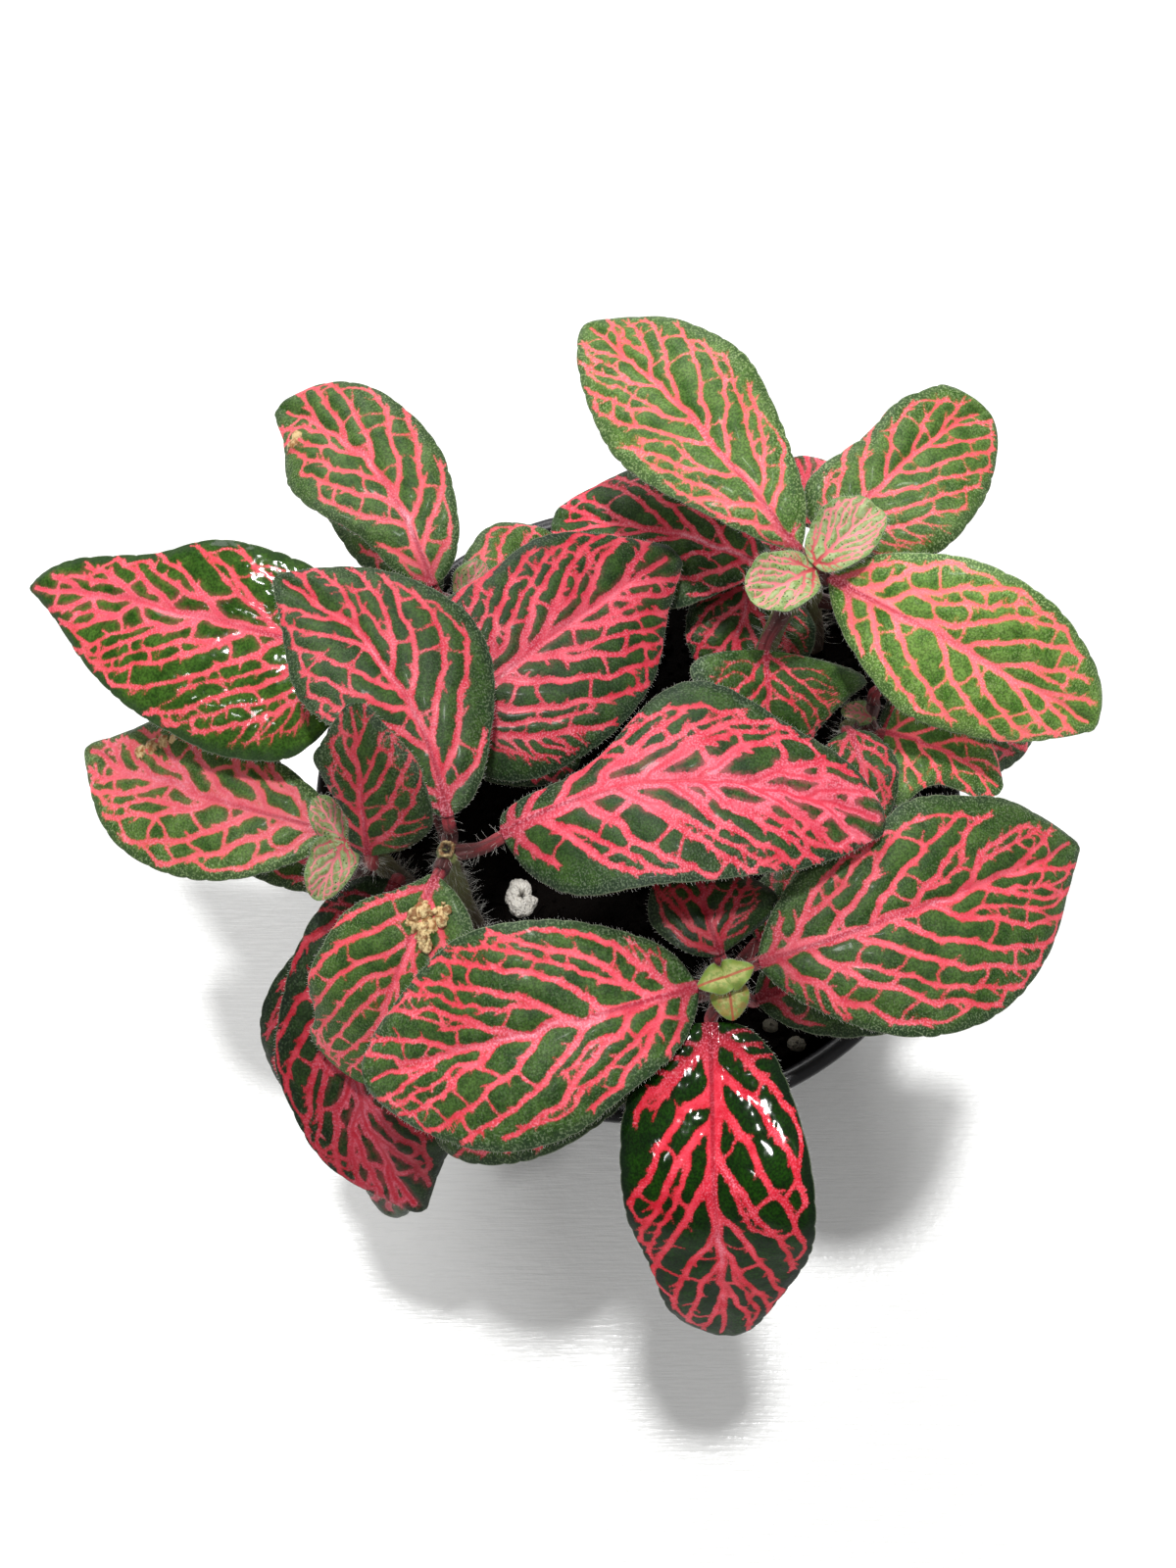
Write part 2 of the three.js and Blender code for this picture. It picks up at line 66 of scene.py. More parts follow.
# Leafy stems: radius at the soil, and the points each grows through. Points 2 and up are its leaf nodes.
STEMS = {
    "back_right": (1.5, [(15, 8, 58), (15, 8.5, 68), (16, 14, 86), (19, 19, 95.5), (21.8, 20.5, 103)]),
    "back": (1.4, [(26, 25, 58), (26, 25.5, 68), (24.5, 27, 79), (25, 30, 85)]),
    "right": (1.4, [(29, 6, 58), (29, 6.5, 68), (29, 8, 78), (30.5, 7, 84)]),
    "centre": (1.6, [(-21, -20, 58), (-21.5, -19.5, 68), (-24, -16.5, 86), (-24.3, -15.5, 98)]),
    "left_back": (1.4, [(-28, 8, 58), (-28.5, 8.5, 68), (-30, 10, 80), (-31, 10.5, 89)]),
    "back_left": (1.4, [(-20, 18, 58), (-20.5, 18.5, 68), (-25, 20.5, 82), (-24, 21, 90)]),
    "left": (1.4, [(-31, -12, 58), (-31.5, -12, 68), (-34, -12.5, 82), (-37, -13.5, 95)]),
    "front_left": (1.4, [(-27, -21, 58), (-27, -21, 68), (-28.5, -20.5, 74), (-30, -18.5, 80)]),
    "front": (1.5, [(10, -24, 58), (10, -25, 68), (9.5, -29.5, 86), (9.3, -31.5, 95), (9.3, -33.4, 102)]),
}

# Leaves, named for their stems: number of the stem's node, base, tip, arch and bow of the midrib, left and
# right half width, share of the length at the widest, fullness, and roll in degrees.
LEAVES = {
    "back_right_1": (4, (20, 22.5, 104), (-7.5, 60, 97), 5, -0.5, 10.5, 10.5, 0.52, 0.86, 7),
    "back_right_2": (4, (23.5, 19, 104), (58.5, 2.5, 94), 5, 2, 11, 10.5, 0.47, 0.77, -30),
    "back_right_3": (3, (24.5, 25.5, 100), (46, 45, 100), 3, -1.5, 7.5, 11.5, 0.42, 0.48, 0),
    "back_right_4": (3, (16, 12.5, 95.5), (19, -2, 87), 2, 1, 10.5, 10.5, 0.4, 0.42, 8),
    "back_right_5": (4, (21.2, 18.9, 106.5), (13, 14.2, 108), 0.5, 0, 3.9, 4.1, 0.5, 0.42, 0),
    "back_right_6": (4, (21.2, 19.2, 107), (29, 26.6, 109), 0.5, 0, 4.1, 4.0, 0.52, 0.42, 0),
    "back_1": (3, (20, 27.5, 86), (-12, 38, 82), 3, 0.5, 12.5, 9.5, 0.6, 0.8, -4),
    "back_2": (2, (29, 26, 82), (50, 18, 78), 3, 0, 9, 9, 0.45, 0.6, 0),
    "back_3": (3, (24.5, 33, 89), (21.5, 43, 91), 1, 0, 4.5, 4.5, 0.5, 0.6, 0),
    "back_4": (2, (21, 33, 77), (6, 56, 71), 3, 0, 9, 9, 0.5, 0.6, 0),
    "back_5": (2, (16, 29, 81), (12, 15, 77), 2, 0, 10.5, 7.5, 0.45, 0.45, 0),
    "right_1": (3, (32, 3.5, 89), (47.5, -3.5, 86), 2, -0.5, 7.5, 7, 0.35, 0.5, -5),
    "right_2": (3, (31.5, 10, 88), (40, 14, 87), 1, 0, 5, 5, 0.45, 0.55, 0),
    "right_3": (3, (27, 3, 91), (30, -10, 91), 1.5, 0, 4.5, 4.5, 0.4, 0.5, 0),
    "right_4": (2, (33, 7, 78), (56, 11, 71), 3, 0, 8, 8, 0.45, 0.6, 0),
    "centre_1": (3, (-24, -12.5, 103), (-47, 19.5, 103), 3, 4.5, 11, 11.5, 0.48, 0.83, -6),
    "centre_2": (3, (-17.5, -14.5, 103), (29, -14, 104), 6, -4.5, 11.5, 13.5, 0.46, 0.59, 10),
    "centre_3": (3, (-25.5, -18.5, 99), (-35.5, -41.5, 82), 4, 0, 10.5, 13, 0.55, 0.68, -4),
    "centre_4": (2, (-26.5, 1, 97), (5, 28, 92), 4, 0.5, 13.5, 15, 0.34, 0.47, -10),
    "left_back_1": (3, (-36, 10.5, 97), (-82, 24, 90), 4, -0.5, 16, 10.5, 0.32, 0.68, 10),
    "left_back_2": (2, (-26, 8, 83), (-8, 3, 78), 2, 0, 7, 7, 0.45, 0.6, 0),
    "left_back_3": (2, (-35, 13, 82), (-62, 24, 75), 3, 0, 9, 9, 0.45, 0.6, 0),
    "back_left_1": (3, (-27.5, 22.5, 93), (-50, 51, 90), 4, 3.5, 9, 10, 0.53, 0.65, 2),
    "back_left_2": (2, (-22, 24, 84), (-12, 37.5, 78), 1, -1, 6, 7, 0.5, 0.55, 0),
    "back_left_3": (2, (-29, 25, 79), (-45, 46, 74), 2, 1.5, 5, 6, 0.5, 0.6, 0),
    "left_1": (2, (-38.5, -10, 88), (-75.5, 4.5, 80), 4, -2, 11, 9.5, 0.48, 0.9, 7),
    "left_2": (3, (-33.5, -17, 103), (-34.5, -1.5, 114), 1.5, 0, 5, 8.5, 0.42, 0.48, 10),
    "left_3": (2, (-39, -14, 76.5), (-63, 0.5, 71.5), 2, 0, 5.5, 5, 0.5, 0.6, 0),
    "front_left_1": (3, (-32, -15.5, 85), (-29, -55.5, 62), 6, 7, 13, 11, 0.38, 0.6, -4),
    "front_left_2": (2, (-33, -20, 77), (-46.5, -41, 62), 5, 3, 8, 7, 0.45, 0.6, 0),
    "front_left_3": (2, (-27, -29, 76.5), (-34.5, -55.5, 52), 6, 0.5, 6, 6, 0.45, 0.6, 0),
    "front_1": (4, (6, -33, 102), (-34.5, -42.5, 93), 7, -1.5, 12.5, 13.5, 0.49, 0.65, 10),
    "front_2": (4, (13.5, -29.5, 99), (55.5, -12.5, 92), 5, 1.5, 11.5, 15.5, 0.45, 0.79, -10),
    "front_3": (4, (7.5, -37, 101), (10.5, -72, 74), 8, 1, 11.5, 11, 0.4, 0.49, -11),
    "front_4": (3, (9, -28.5, 99), (7, -15, 97), 2, -1, 6.5, 7.5, 0.5, 0.57, 0),
    "front_5": (2, (14.5, -24.5, 89), (23, -15, 88), 1, 0, 5, 5, 0.5, 0.6, 0),
    "front_6": (3, (3, -34, 92), (-27, -47, 76), 4, -1, 8.5, 9.5, 0.5, 0.6, 0),
    "front_7": (2, (14.5, -31, 84), (45, -22, 76), 4, 0, 9, 9, 0.5, 0.6, 0),
}

# Young leaves and bracts at the tips of the stems: stem, base, tip, half width, widest, kind.
SPROUTS = [
    ("front", (9.6, -32.3, 104.4), (5.8, -33.7, 105), 1.9, 0.3, "bract"),
    ("front", (8.7, -32.7, 104.4), (12.5, -31.4, 105.3), 1.9, 0.3, "bract"),
    ("front", (9.4, -32.2, 103.2), (10.1, -37.2, 102.4), 2.3, 0.4, "bract"),
    ("left", (-37, -13, 96.6), (-40.8, -20.8, 95.5), 3.1, 0.42, "leaf"),
    ("left", (-37, -14, 96.2), (-41.2, -8.2, 98), 2.4, 0.45, "leaf"),
    ("back_left", (-24, 21, 91), (-21, 26, 94), 2.2, 0.5, "leaf"),
    ("back_left", (-24, 21, 91), (-26, 18.5, 93), 1.4, 0.5, "leaf"),
    ("back", (25, 30, 86), (27.5, 29, 89), 1.6, 0.5, "leaf"),
    ("right", (30.5, 7, 85), (26.5, 7, 88), 1.6, 0.5, "leaf"),
    ("left_back", (-31, 10.5, 90), (-29.5, 13.5, 91), 1.6, 0.5, "leaf"),
    ("front_left", (-30, -18.5, 81), (-32.5, -21, 83), 1.6, 0.5, "leaf"),
]

# Perlite grains: place and size across.
GRAINS = [
    (-16.3, -13, 4.6), (-25.5, -9.5, 2.6), (18, -31, 2), (21.5, -33.5, 2.2), (-2, 33, 3.4), (33, -20, 3),
]

# What the half widths of most leaves that show have more than that, left and right: coefficients in mm of
# a cubic B-spline with a knot at each tenth of the length, from -0.1 to 1.1. They come from a fit to points
# of the outlines that were read off the photograph. The bow, half widths, place of the widest, fullness and
# roll in LEAVES began with such a fit too, and were rounded and changed.
TRIMS = {
    "back_right_1": (
        (0.5, 0, -0.6, -1, -0.6, -0.1, 0.1, -0.3, -0.7, -0.7, -0.4, 0, 0.4),
        (-1.1, 0.2, 0.8, -0.2, -0.2, 0, 0.8, 0.6, 0, 0.8, 0, -0.1, 0.2),
    ),
    "back_right_2": (
        (-0.3, 0.3, 0, -0.6, -0.3, -0.3, -0.3, 0, 0.1, 0.3, 1.3, 0.7, -2),
        (0, 0, -0.1, -0.5, 0.1, 0.3, -0.1, -0.5, -0.5, -0.6, -1.1, -0.1, 1.2),
    ),
    "back_right_3": (
        (-1.8, 0.1, 1.7, 0.8, -0.5, -1.3, -1.5, -0.3, 0.4, 0.4, 2.4, 0.3, -3.9),
        (0, 1.0, 1.2, 0.8, 0.9, 0.7, 0.4, 0.3, 0.3, 0.1, 0, 0, 0.1),
    ),
    "back_right_4": (
        (-4, 0.2, 4, 4, 3.9, 1.7, -0.4, -2, -2.9, -2.7, -1.5, 0, 1.4),
        (-2.9, 0.3, 2.5, 0.2, -1.5, -1.8, -1.4, -0.9, -0.5, -0.2, -0.1, 0, 0.1),
    ),
    "back_1": (
        (2.1, -0.1, -1.9, -1.3, -0.3, 0.2, 0.3, 0.3, 0.2, 0.1, 0.1, 0, 0),
        (0.6, 0, -0.6, -0.5, -0.1, 0.6, 1.3, 1.7, 1.4, -0.5, -2, -0.2, 2.2),
    ),
    "centre_4": (
        (0.4, 0, -0.4, -0.9, -1.3, -1.6, -1.1, 0.3, 0.3, -0.9, -1.7, -0.4, 1.9),
        (0.4, 0, -0.4, -0.7, -0.6, -0.3, -0.3, -0.5, -1, -2.7, -2.6, -0.5, 2.7),
    ),
    "back_left_1": (
        (-0.4, 0.1, 0.2, -1, -1.1, 0.1, 1, 1.2, 1.3, 0.1, -1.7, -0.2, 1.9),
        (-0.7, 0.3, 0.4, -0.5, -0.8, -0.6, -0.7, -0.8, -0.4, -0.3, -0.2, -0.6, 0.7),
    ),
    "left_back_1": (
        (-3.7, 1, 2.3, 0.7, 0.7, -0.1, -0.1, -0.3, -0.4, -0.9, -1.5, 0, 1.6),
        (-0.2, 0, 0.2, 0.2, 0.1, 0.5, 0.2, -1.5, -0.7, 0.2, 1.4, 0.6, -2),
    ),
    "centre_1": (
        (0.6, 0, -0.6, -1.2, -1.6, -1.2, -0.2, 0.4, 0.4, -0.1, -0.5, -0.1, 0.7),
        (-0.5, 1.1, 0.2, -0.6, 0.3, 1.1, 1.3, 0.3, -0.1, -0.1, -0.4, -0.1, 0.4),
    ),
    "centre_3": (
        (-2.2, 0.7, 1.9, 1, 0.4, 0, -0.1, -0.2, -0.1, -0.1, 0, 0, 0),
        (3, -0.4, -2.4, -0.7, -1.4, -2.4, -2.6, -2.3, -2.7, -2.7, 1.8, 2.2, -2.2),
    ),
    "front_left_1": (
        (0, 0, 0, 0, 0.3, 0.9, 1.7, 2.8, 3.7, 3.5, 0.8, -0.8, 0.3),
        (0.4, 0.1, -0.6, -1.2, -1.5, -1, -0.1, -1, -0.5, -0.7, -1.4, 0.3, 1.3),
    ),
    "left_1": (
        (0.4, 0.1, -0.5, -0.2, 0, -0.1, 0, 0.3, 0.6, 0.2, -0.7, -0.2, 1),
        (-0.3, 0.1, 0.2, -0.5, -0.5, 0.1, 1, 1.9, 2, 0.6, -0.4, 0.4, 0),
    ),
    "left_2": (
        (1.4, 0, -1.5, -2.7, -2.7, -1.2, -0.4, 0.6, 1.4, -0.1, -0.1, 0, 0.1),
        (-0.4, 0, 0.4, 0.5, 0.1, -0.3, -0.6, -0.7, -1.2, -2, -1.9, -0.1, 2),
    ),
    "centre_2": (
        (3.9, 0, -4, -6, -5, 0.3, 2.9, 1.6, -0.6, -0.4, 0.6, 0.2, -0.8),
        (-2.4, 1.1, 2.2, 1.7, 0.3, -0.6, -0.7, -0.8, -0.7, 0, -0.4, -0.8, 0.7),
    ),
    "front_1": (
        (-0.3, 0.1, 0.1, -1, -0.9, 0.3, 0.3, 0.6, 0.1, -0.6, -0.7, -0.4, 0.7),
        (-0.3, 1.2, 0.2, -0.3, -0.3, -0.4, -0.1, 0, -0.5, -1.1, -1.1, 0, 1.1),
    ),
    "front_2": (
        (-0.4, -0.1, 0.6, 0.7, -0.8, -1.1, 1.5, 1.8, 1.2, 2.2, 1.2, -0.1, -0.9),
        (0.7, 0.1, -0.9, -0.6, -0.2, -0.1, 0, -0.1, -0.2, -0.4, -1.9, -0.3, 2.3),
    ),
    "front_3": (
        (0.7, 0, -0.7, -0.8, -0.2, 0.2, 0.2, 0, -0.6, -1.2, -1, 0, 1),
        (-0.5, 0, 0.5, 0.6, 0.2, -0.1, -0.3, -1, -1.2, -0.2, 0.6, 0.1, -0.7),
    ),
    "front_4": (
        (0.2, 0, -0.1, 0, 0.3, 0.6, 0.3, -0.2, -0.5, -0.4, -0.2, 0, 0.2),
        (-2.2, 0.1, 2.2, 2.8, 2.3, 1.4, 0.7, 0.2, 0, -0.1, -0.1, 0, 0.1),
    ),
    "right_1": (
        (-1, 0.1, 1, 0.8, -0.1, -1.1, -1.7, -1.6, -1.3, -1.1, -1.2, -0.3, 1.6),
        (-2.5, 0.9, 2.5, 2.5, 2.1, -1.6, -2.5, -2.5, -2, -1.2, -0.5, 0, 0.5),
    ),
}

# ---- looks of the leaves ----
# fresh: 0 dark and mature to 1 light green. young: 1 for a pale blade that unfolds. width: of the veins.
# ribs: side veins on each half. spread: of their angle to the midrib. flush: pink that spreads between
# the veins. wet: 1 for a glossy blade. hump: height of a rise across the blade and its place from base to
# tip. tone: brightness of the colours, partly the leaf's own and partly painted light and shade: it is low
# to paint shade on leaves that lie in shadow, such as front_left_1, left_2 and front_4, and high to paint
# light on right_1 and back_right_2. deep: their gamma. PLAIN holds what a leaf's own look doesn't say.
LOOKS = {
    "back_right_1": dict(fresh=0.75, width=0.57, ribs=8, tone=1.15),
    "back_right_2": dict(fresh=1.0, width=0.7, ribs=7, tone=1.5),
    "back_right_3": dict(fresh=0.6, width=0.49, ribs=6, tone=1.15),
    "back_right_4": dict(width=0.47, tone=1.15),
    "back_right_5": dict(fresh=1.0, width=0.7, ribs=4, young=1),
    "back_right_6": dict(fresh=1.0, width=0.7, ribs=4, young=1),
    "back_1": dict(fresh=0.0, width=0.72, ribs=7, tone=1.15),
    "back_3": dict(fresh=0.2, width=1.0, ribs=3, flush=0.5),
    "back_5": dict(fresh=0.0, ribs=4),
    "right_1": dict(fresh=0.4, width=0.55, ribs=4, tone=1.6),
    "right_2": dict(fresh=0.15, ribs=4),
    "right_3": dict(ribs=4),
    "centre_1": dict(width=0.77, ribs=7, tone=0.86),
    "centre_2": dict(fresh=0.0, width=1.02, ribs=8, spread=1.2, flush=0.85, tone=0.92),
    "centre_3": dict(fresh=0.3, width=0.62, ribs=7, tone=1.05),
    "centre_4": dict(fresh=0.0, width=0.89, ribs=7, flush=0.3, tone=0.88, deep=1.04),
    "left_back_1": dict(fresh=0.3, width=0.67, ribs=7, flush=0.4, wet=1, tone=1.05, hump=(1.2, 0.5)),
    "left_back_2": dict(fresh=0.0, width=0.9, ribs=4),
    "back_left_1": dict(fresh=0.5, width=0.75, ribs=7, tone=0.95),
    "back_left_2": dict(fresh=0.5, ribs=4),
    "back_left_3": dict(fresh=0.3),
    "left_1": dict(fresh=0.6, width=0.86, ribs=7, flush=0.3, tone=0.95),
    "left_2": dict(fresh=0.15, width=0.67, tone=0.6),
    "left_3": dict(fresh=0.3),
    "front_left_1": dict(fresh=0.0, width=0.88, ribs=7, flush=0.8, tone=0.65, deep=1.18),
    "front_left_2": dict(fresh=0.0, width=0.9, tone=0.6, deep=1.1),
    "front_left_3": dict(fresh=0.05, width=1.0, flush=0.5, tone=0.7),
    "front_1": dict(fresh=0.15, ribs=7, tone=1.06),
    "front_2": dict(fresh=0.2, width=0.81, ribs=7),
    "front_3": dict(fresh=0.0, width=1.0, ribs=7, wet=1, tone=1.05, deep=1.3, hump=(3.0, 0.4)),
    "front_4": dict(width=0.95, ribs=4, tone=0.62, deep=1.15),
    "front_5": dict(width=0.7, ribs=4),
    "front_6": dict(fresh=0.2),
}
PLAIN = dict(
    fresh=0.1, width=0.8, ribs=5, spread=1.0, flush=0.0, wet=0, young=0, hump=(0.0, 0.5), tone=1.0, deep=1.0
)

# Dried scars on blades: across and along from the base, and radius. Those of CRUSTED stand up.
SCARS = {
    "centre_3": [(-1.6, 5.6, 1.5), (-0.2, 4.2, 1.3), (0.4, 5.6, 1.2), (-2.6, 3.8, 1.2), (-1.8, 7.4, 1.0)],
    "left_1": [(2.6, 30.2, 1.3), (3.9, 28.9, 1.3), (5.0, 27.4, 1.2), (6.0, 25.8, 1.1), (6.9, 24.2, 0.9)],
    "back_left_1": [(-4.5, 29.5, 1.3), (-3.2, 30.0, 1.0)],
}
CRUSTED = ("centre_3",)


# ---- small tools ----
def random_for(name):
    """A generator of random numbers that is the same for this name in each run."""
    return np.random.default_rng(zlib.crc32(name.encode()))


def unit(vectors):
    return vectors / np.linalg.norm(vectors, axis=-1, keepdims=True)


def smooth(x, low, high):
    """0 where x is low, 1 where it is high, smooth between."""
    t = np.clip((x - low) / (high - low), 0, 1)
    return t * t * (3 - 2 * t)


def field(points, scale, octaves=3):
    """Smooth noise from about -1 to 1 at each point, whose features are 1 / scale across."""
    points = np.asarray(points)
    total = np.zeros(points.shape[:-1]).ravel()
    for k in range(octaves):
        places = (points * (scale * 2**k) + 17.3 * k).reshape(-1, 3)
        total += np.array([noise.noise(Vector(place)) for place in places]) / 2**k
    return total.reshape(points.shape[:-1])


def distances(line):
    """Distance along a line to each of its points."""
    return np.concatenate([[0], np.cumsum(np.linalg.norm(np.diff(line, axis=0), axis=1))])


def circle(sides):
    """Points of a circle of radius 1."""
    angle = 2 * np.pi * np.arange(sides) / sides
    return np.c_[np.cos(angle), np.sin(angle)]


def at_height(points, z):
    """Flat points, all with the height z."""
    return np.c_[points, np.full(len(points), z)]


def bezier(corners, count):
    """count points on the quadratic or cubic curve of these corners."""
    t = np.linspace(0, 1, count)[:, None]
    corners = [np.asarray(c, float) for c in corners]
    while len(corners) > 1:
        corners = [(1 - t) * a + t * b for a, b in zip(corners, corners[1:])]
    return corners[0]


def catmull_rom(route, steps):
    """steps + 1 points on the centripetal curve through route."""
    route = np.asarray(route, float)
    knots = np.vstack([2 * route[0] - route[1], route, 2 * route[-1] - route[-2]])
    spans = np.linalg.norm(np.diff(knots, axis=0), axis=1) ** 0.5
    points = []
    for share in np.linspace(0, len(route) - 1, steps + 1):
        i = min(int(share), len(route) - 2)
        t = share - i
        a, b, c, d = knots[i : i + 4]
        before, here, after = spans[i : i + 3]
        start = here * ((b - a) / before - (c - a) / (before + here) + (c - b) / here)
        end = here * ((c - b) / here - (d - b) / (here + after) + (d - c) / after)
        points.append(
            b * (2 * t**3 - 3 * t**2 + 1) + start * (t**3 - 2 * t**2 + t)
            + c * (3 * t**2 - 2 * t**3) + end * (t**3 - t**2)
        )
    return np.array(points)


# ---- meshes ----
def make_mesh(name, points, groups, materials, values=None, slots=None):
    """An object of points in mm and arrays of faces, each array with faces of one number of corners.

    values holds a number or three for each point, by attribute name. slots holds the number of each
    face's material."""
    groups = [np.asarray(group, np.int32) for group in groups]
    mesh = bpy.data.meshes.new(name)
    corners = np.concatenate([group.ravel() for group in groups])
    sizes = np.concatenate([np.full(len(group), group.shape[1], np.int32) for group in groups])
    mesh.vertices.add(len(points))
    mesh.vertices.foreach_set("co", (np.asarray(points, np.float32) * MM).ravel())
    mesh.loops.add(len(corners))
    mesh.loops.foreach_set("vertex_index", corners)
    mesh.polygons.add(len(sizes))
    mesh.polygons.foreach_set("loop_start", np.concatenate([[0], np.cumsum(sizes)[:-1]]).astype(np.int32))
    if slots is not None:
        mesh.polygons.foreach_set("material_index", np.asarray(slots, np.int32))
    for key, value in (values or {}).items():
        value = np.asarray(value, np.float32)
        kind, part = ("FLOAT", "value") if value.ndim == 1 else ("FLOAT_VECTOR", "vector")
        mesh.attributes.new(key, kind, "POINT").data.foreach_set(part, value.ravel())
    mesh.update(calc_edges=True)
    mesh.validate()
    mesh.shade_smooth()
    for material in materials:
        mesh.materials.append(material)
    piece = bpy.data.objects.new(name, mesh)
    bpy.context.scene.collection.objects.link(piece)
    return piece


class Shells:
    """Collects closed shells and makes one object of them."""

    def __init__(self):
        self.points, self.faces, self.slots, self.values, self.count = [], {}, {}, [], 0

    def add(self, points, groups, slot=0, **values):
        """values holds one number for all points or one for each, and three for flat."""
        points = np.asarray(points, float).reshape(-1, 3)
        values = {key: np.reshape(value, (-1, 3) if key == "flat" else -1) for key, value in values.items()}
        for group in groups:
            self.faces.setdefault(group.shape[1], []).append(group + self.count)
            self.slots.setdefault(group.shape[1], []).append(np.full(len(group), slot))
        self.points.append(points)
        self.values.append((len(points), values))
        self.count += len(points)

    def piece(self, name, materials, slot, *nodes):
        """The object. It rides on the root and stands for these nodes of the solids."""
        joined = {}
        for key in sorted({key for _, values in self.values for key in values}):
            width = (3,) if key == "flat" else ()
            parts = [np.broadcast_to(values.get(key, 0.0), (n, *width)) for n, values in self.values]
            joined[key] = np.concatenate(parts)
        sizes = sorted(self.faces)
        groups = [np.concatenate(self.faces[size]) for size in sizes]
        slots = np.concatenate([np.concatenate(self.slots[size]) for size in sizes])
        piece = make_mesh(name, np.concatenate(self.points), groups, materials, joined, slots)
        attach(piece, "root")
        if nodes:
            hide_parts(*nodes)
        return piece


def grid_faces(rows, columns, first=0, closed=False):
    """Quads over rows of points, with columns points in each. Closed joins the last column to the first."""
    i = np.arange(rows - 1)[:, None]
    j = np.arange(columns if closed else columns - 1)[None, :]
    k = (j + 1) % columns
    corners = [i * columns + j, i * columns + k, (i + 1) * columns + k, (i + 1) * columns + j]
    return first + np.stack(corners, -1).reshape(-1, 4)


def sheet_faces(rows, columns):
    """Faces of a closed sheet: a grid of points on top, then the same below, joined at the margins."""
    top = grid_faces(rows, columns)
    under = grid_faces(rows, columns, rows * columns)[:, ::-1]
    number = np.arange(rows * columns).reshape(rows, columns)

    def strip(line):
        low = line + rows * columns
        return np.stack([line[:-1], line[1:], low[1:], low[:-1]], -1)

    margins = [number[:, 0], number[::-1, -1], number[0, ::-1], number[-1]]
    return [np.concatenate([top, under, *[strip(line) for line in margins]])]


def tube_faces(rows, sides):
    """Faces of a tube with flat ends."""
    ends = np.array([np.arange(sides)[::-1], np.arange(sides) + (rows - 1) * sides])
    return [grid_faces(rows, sides, closed=True), ends]


def ball(level):
    """Points and triangles of a round ball of radius 1."""
    form = bmesh.new()
    bmesh.ops.create_icosphere(form, subdivisions=level, radius=1.0)
    points = np.array([vertex.co for vertex in form.verts])
    faces = np.array([[vertex.index for vertex in face.verts] for face in form.faces])
    form.free()
    return points, [faces]


def tube(points, radii, sides, shape=None):
    """Points of a tube round a line, row by row, with its outward directions.

    shape gives for each row and angle a factor of the radius."""
    points = np.asarray(points, float)
    tangents = unit(np.gradient(points, axis=0))
    across = np.array([0.0, 1.0, 0.0]) if abs(tangents[:, 2]).mean() > 0.7 else UP
    first = unit(across - tangents * (tangents @ across)[:, None])
    second = np.cross(tangents, first)
    angle = 2 * np.pi * (np.arange(sides) + 0.5) / sides
    out = first[:, None] * np.cos(angle)[None, :, None] + second[:, None] * np.sin(angle)[None, :, None]
    if shape is None:
        factor = np.ones((len(points), sides))
    else:
        factor = shape(np.linspace(0, 1, len(points))[:, None], angle)
    return points[:, None] + out * (np.asarray(radii)[:, None] * factor)[:, :, None], out


def lump(shells, ball_form, place, size, random, slot=0, uneven=0.35):
    """Adds a small rough lump."""
    points, groups = ball_form
    rough = 1 + uneven * field(points + random.uniform(-50, 50, 3), 1.1, 2)
    stretch = random.uniform(0.6, 1.2, 3) * size / 2
    turn = random.uniform(0, 2 * math.pi)
    x, y, z = (points * rough[:, None] * stretch).T
    spun = np.c_[x * math.cos(turn) - y * math.sin(turn), x * math.sin(turn) + y * math.cos(turn), z]
    shells.add(spun + place, groups, slot)


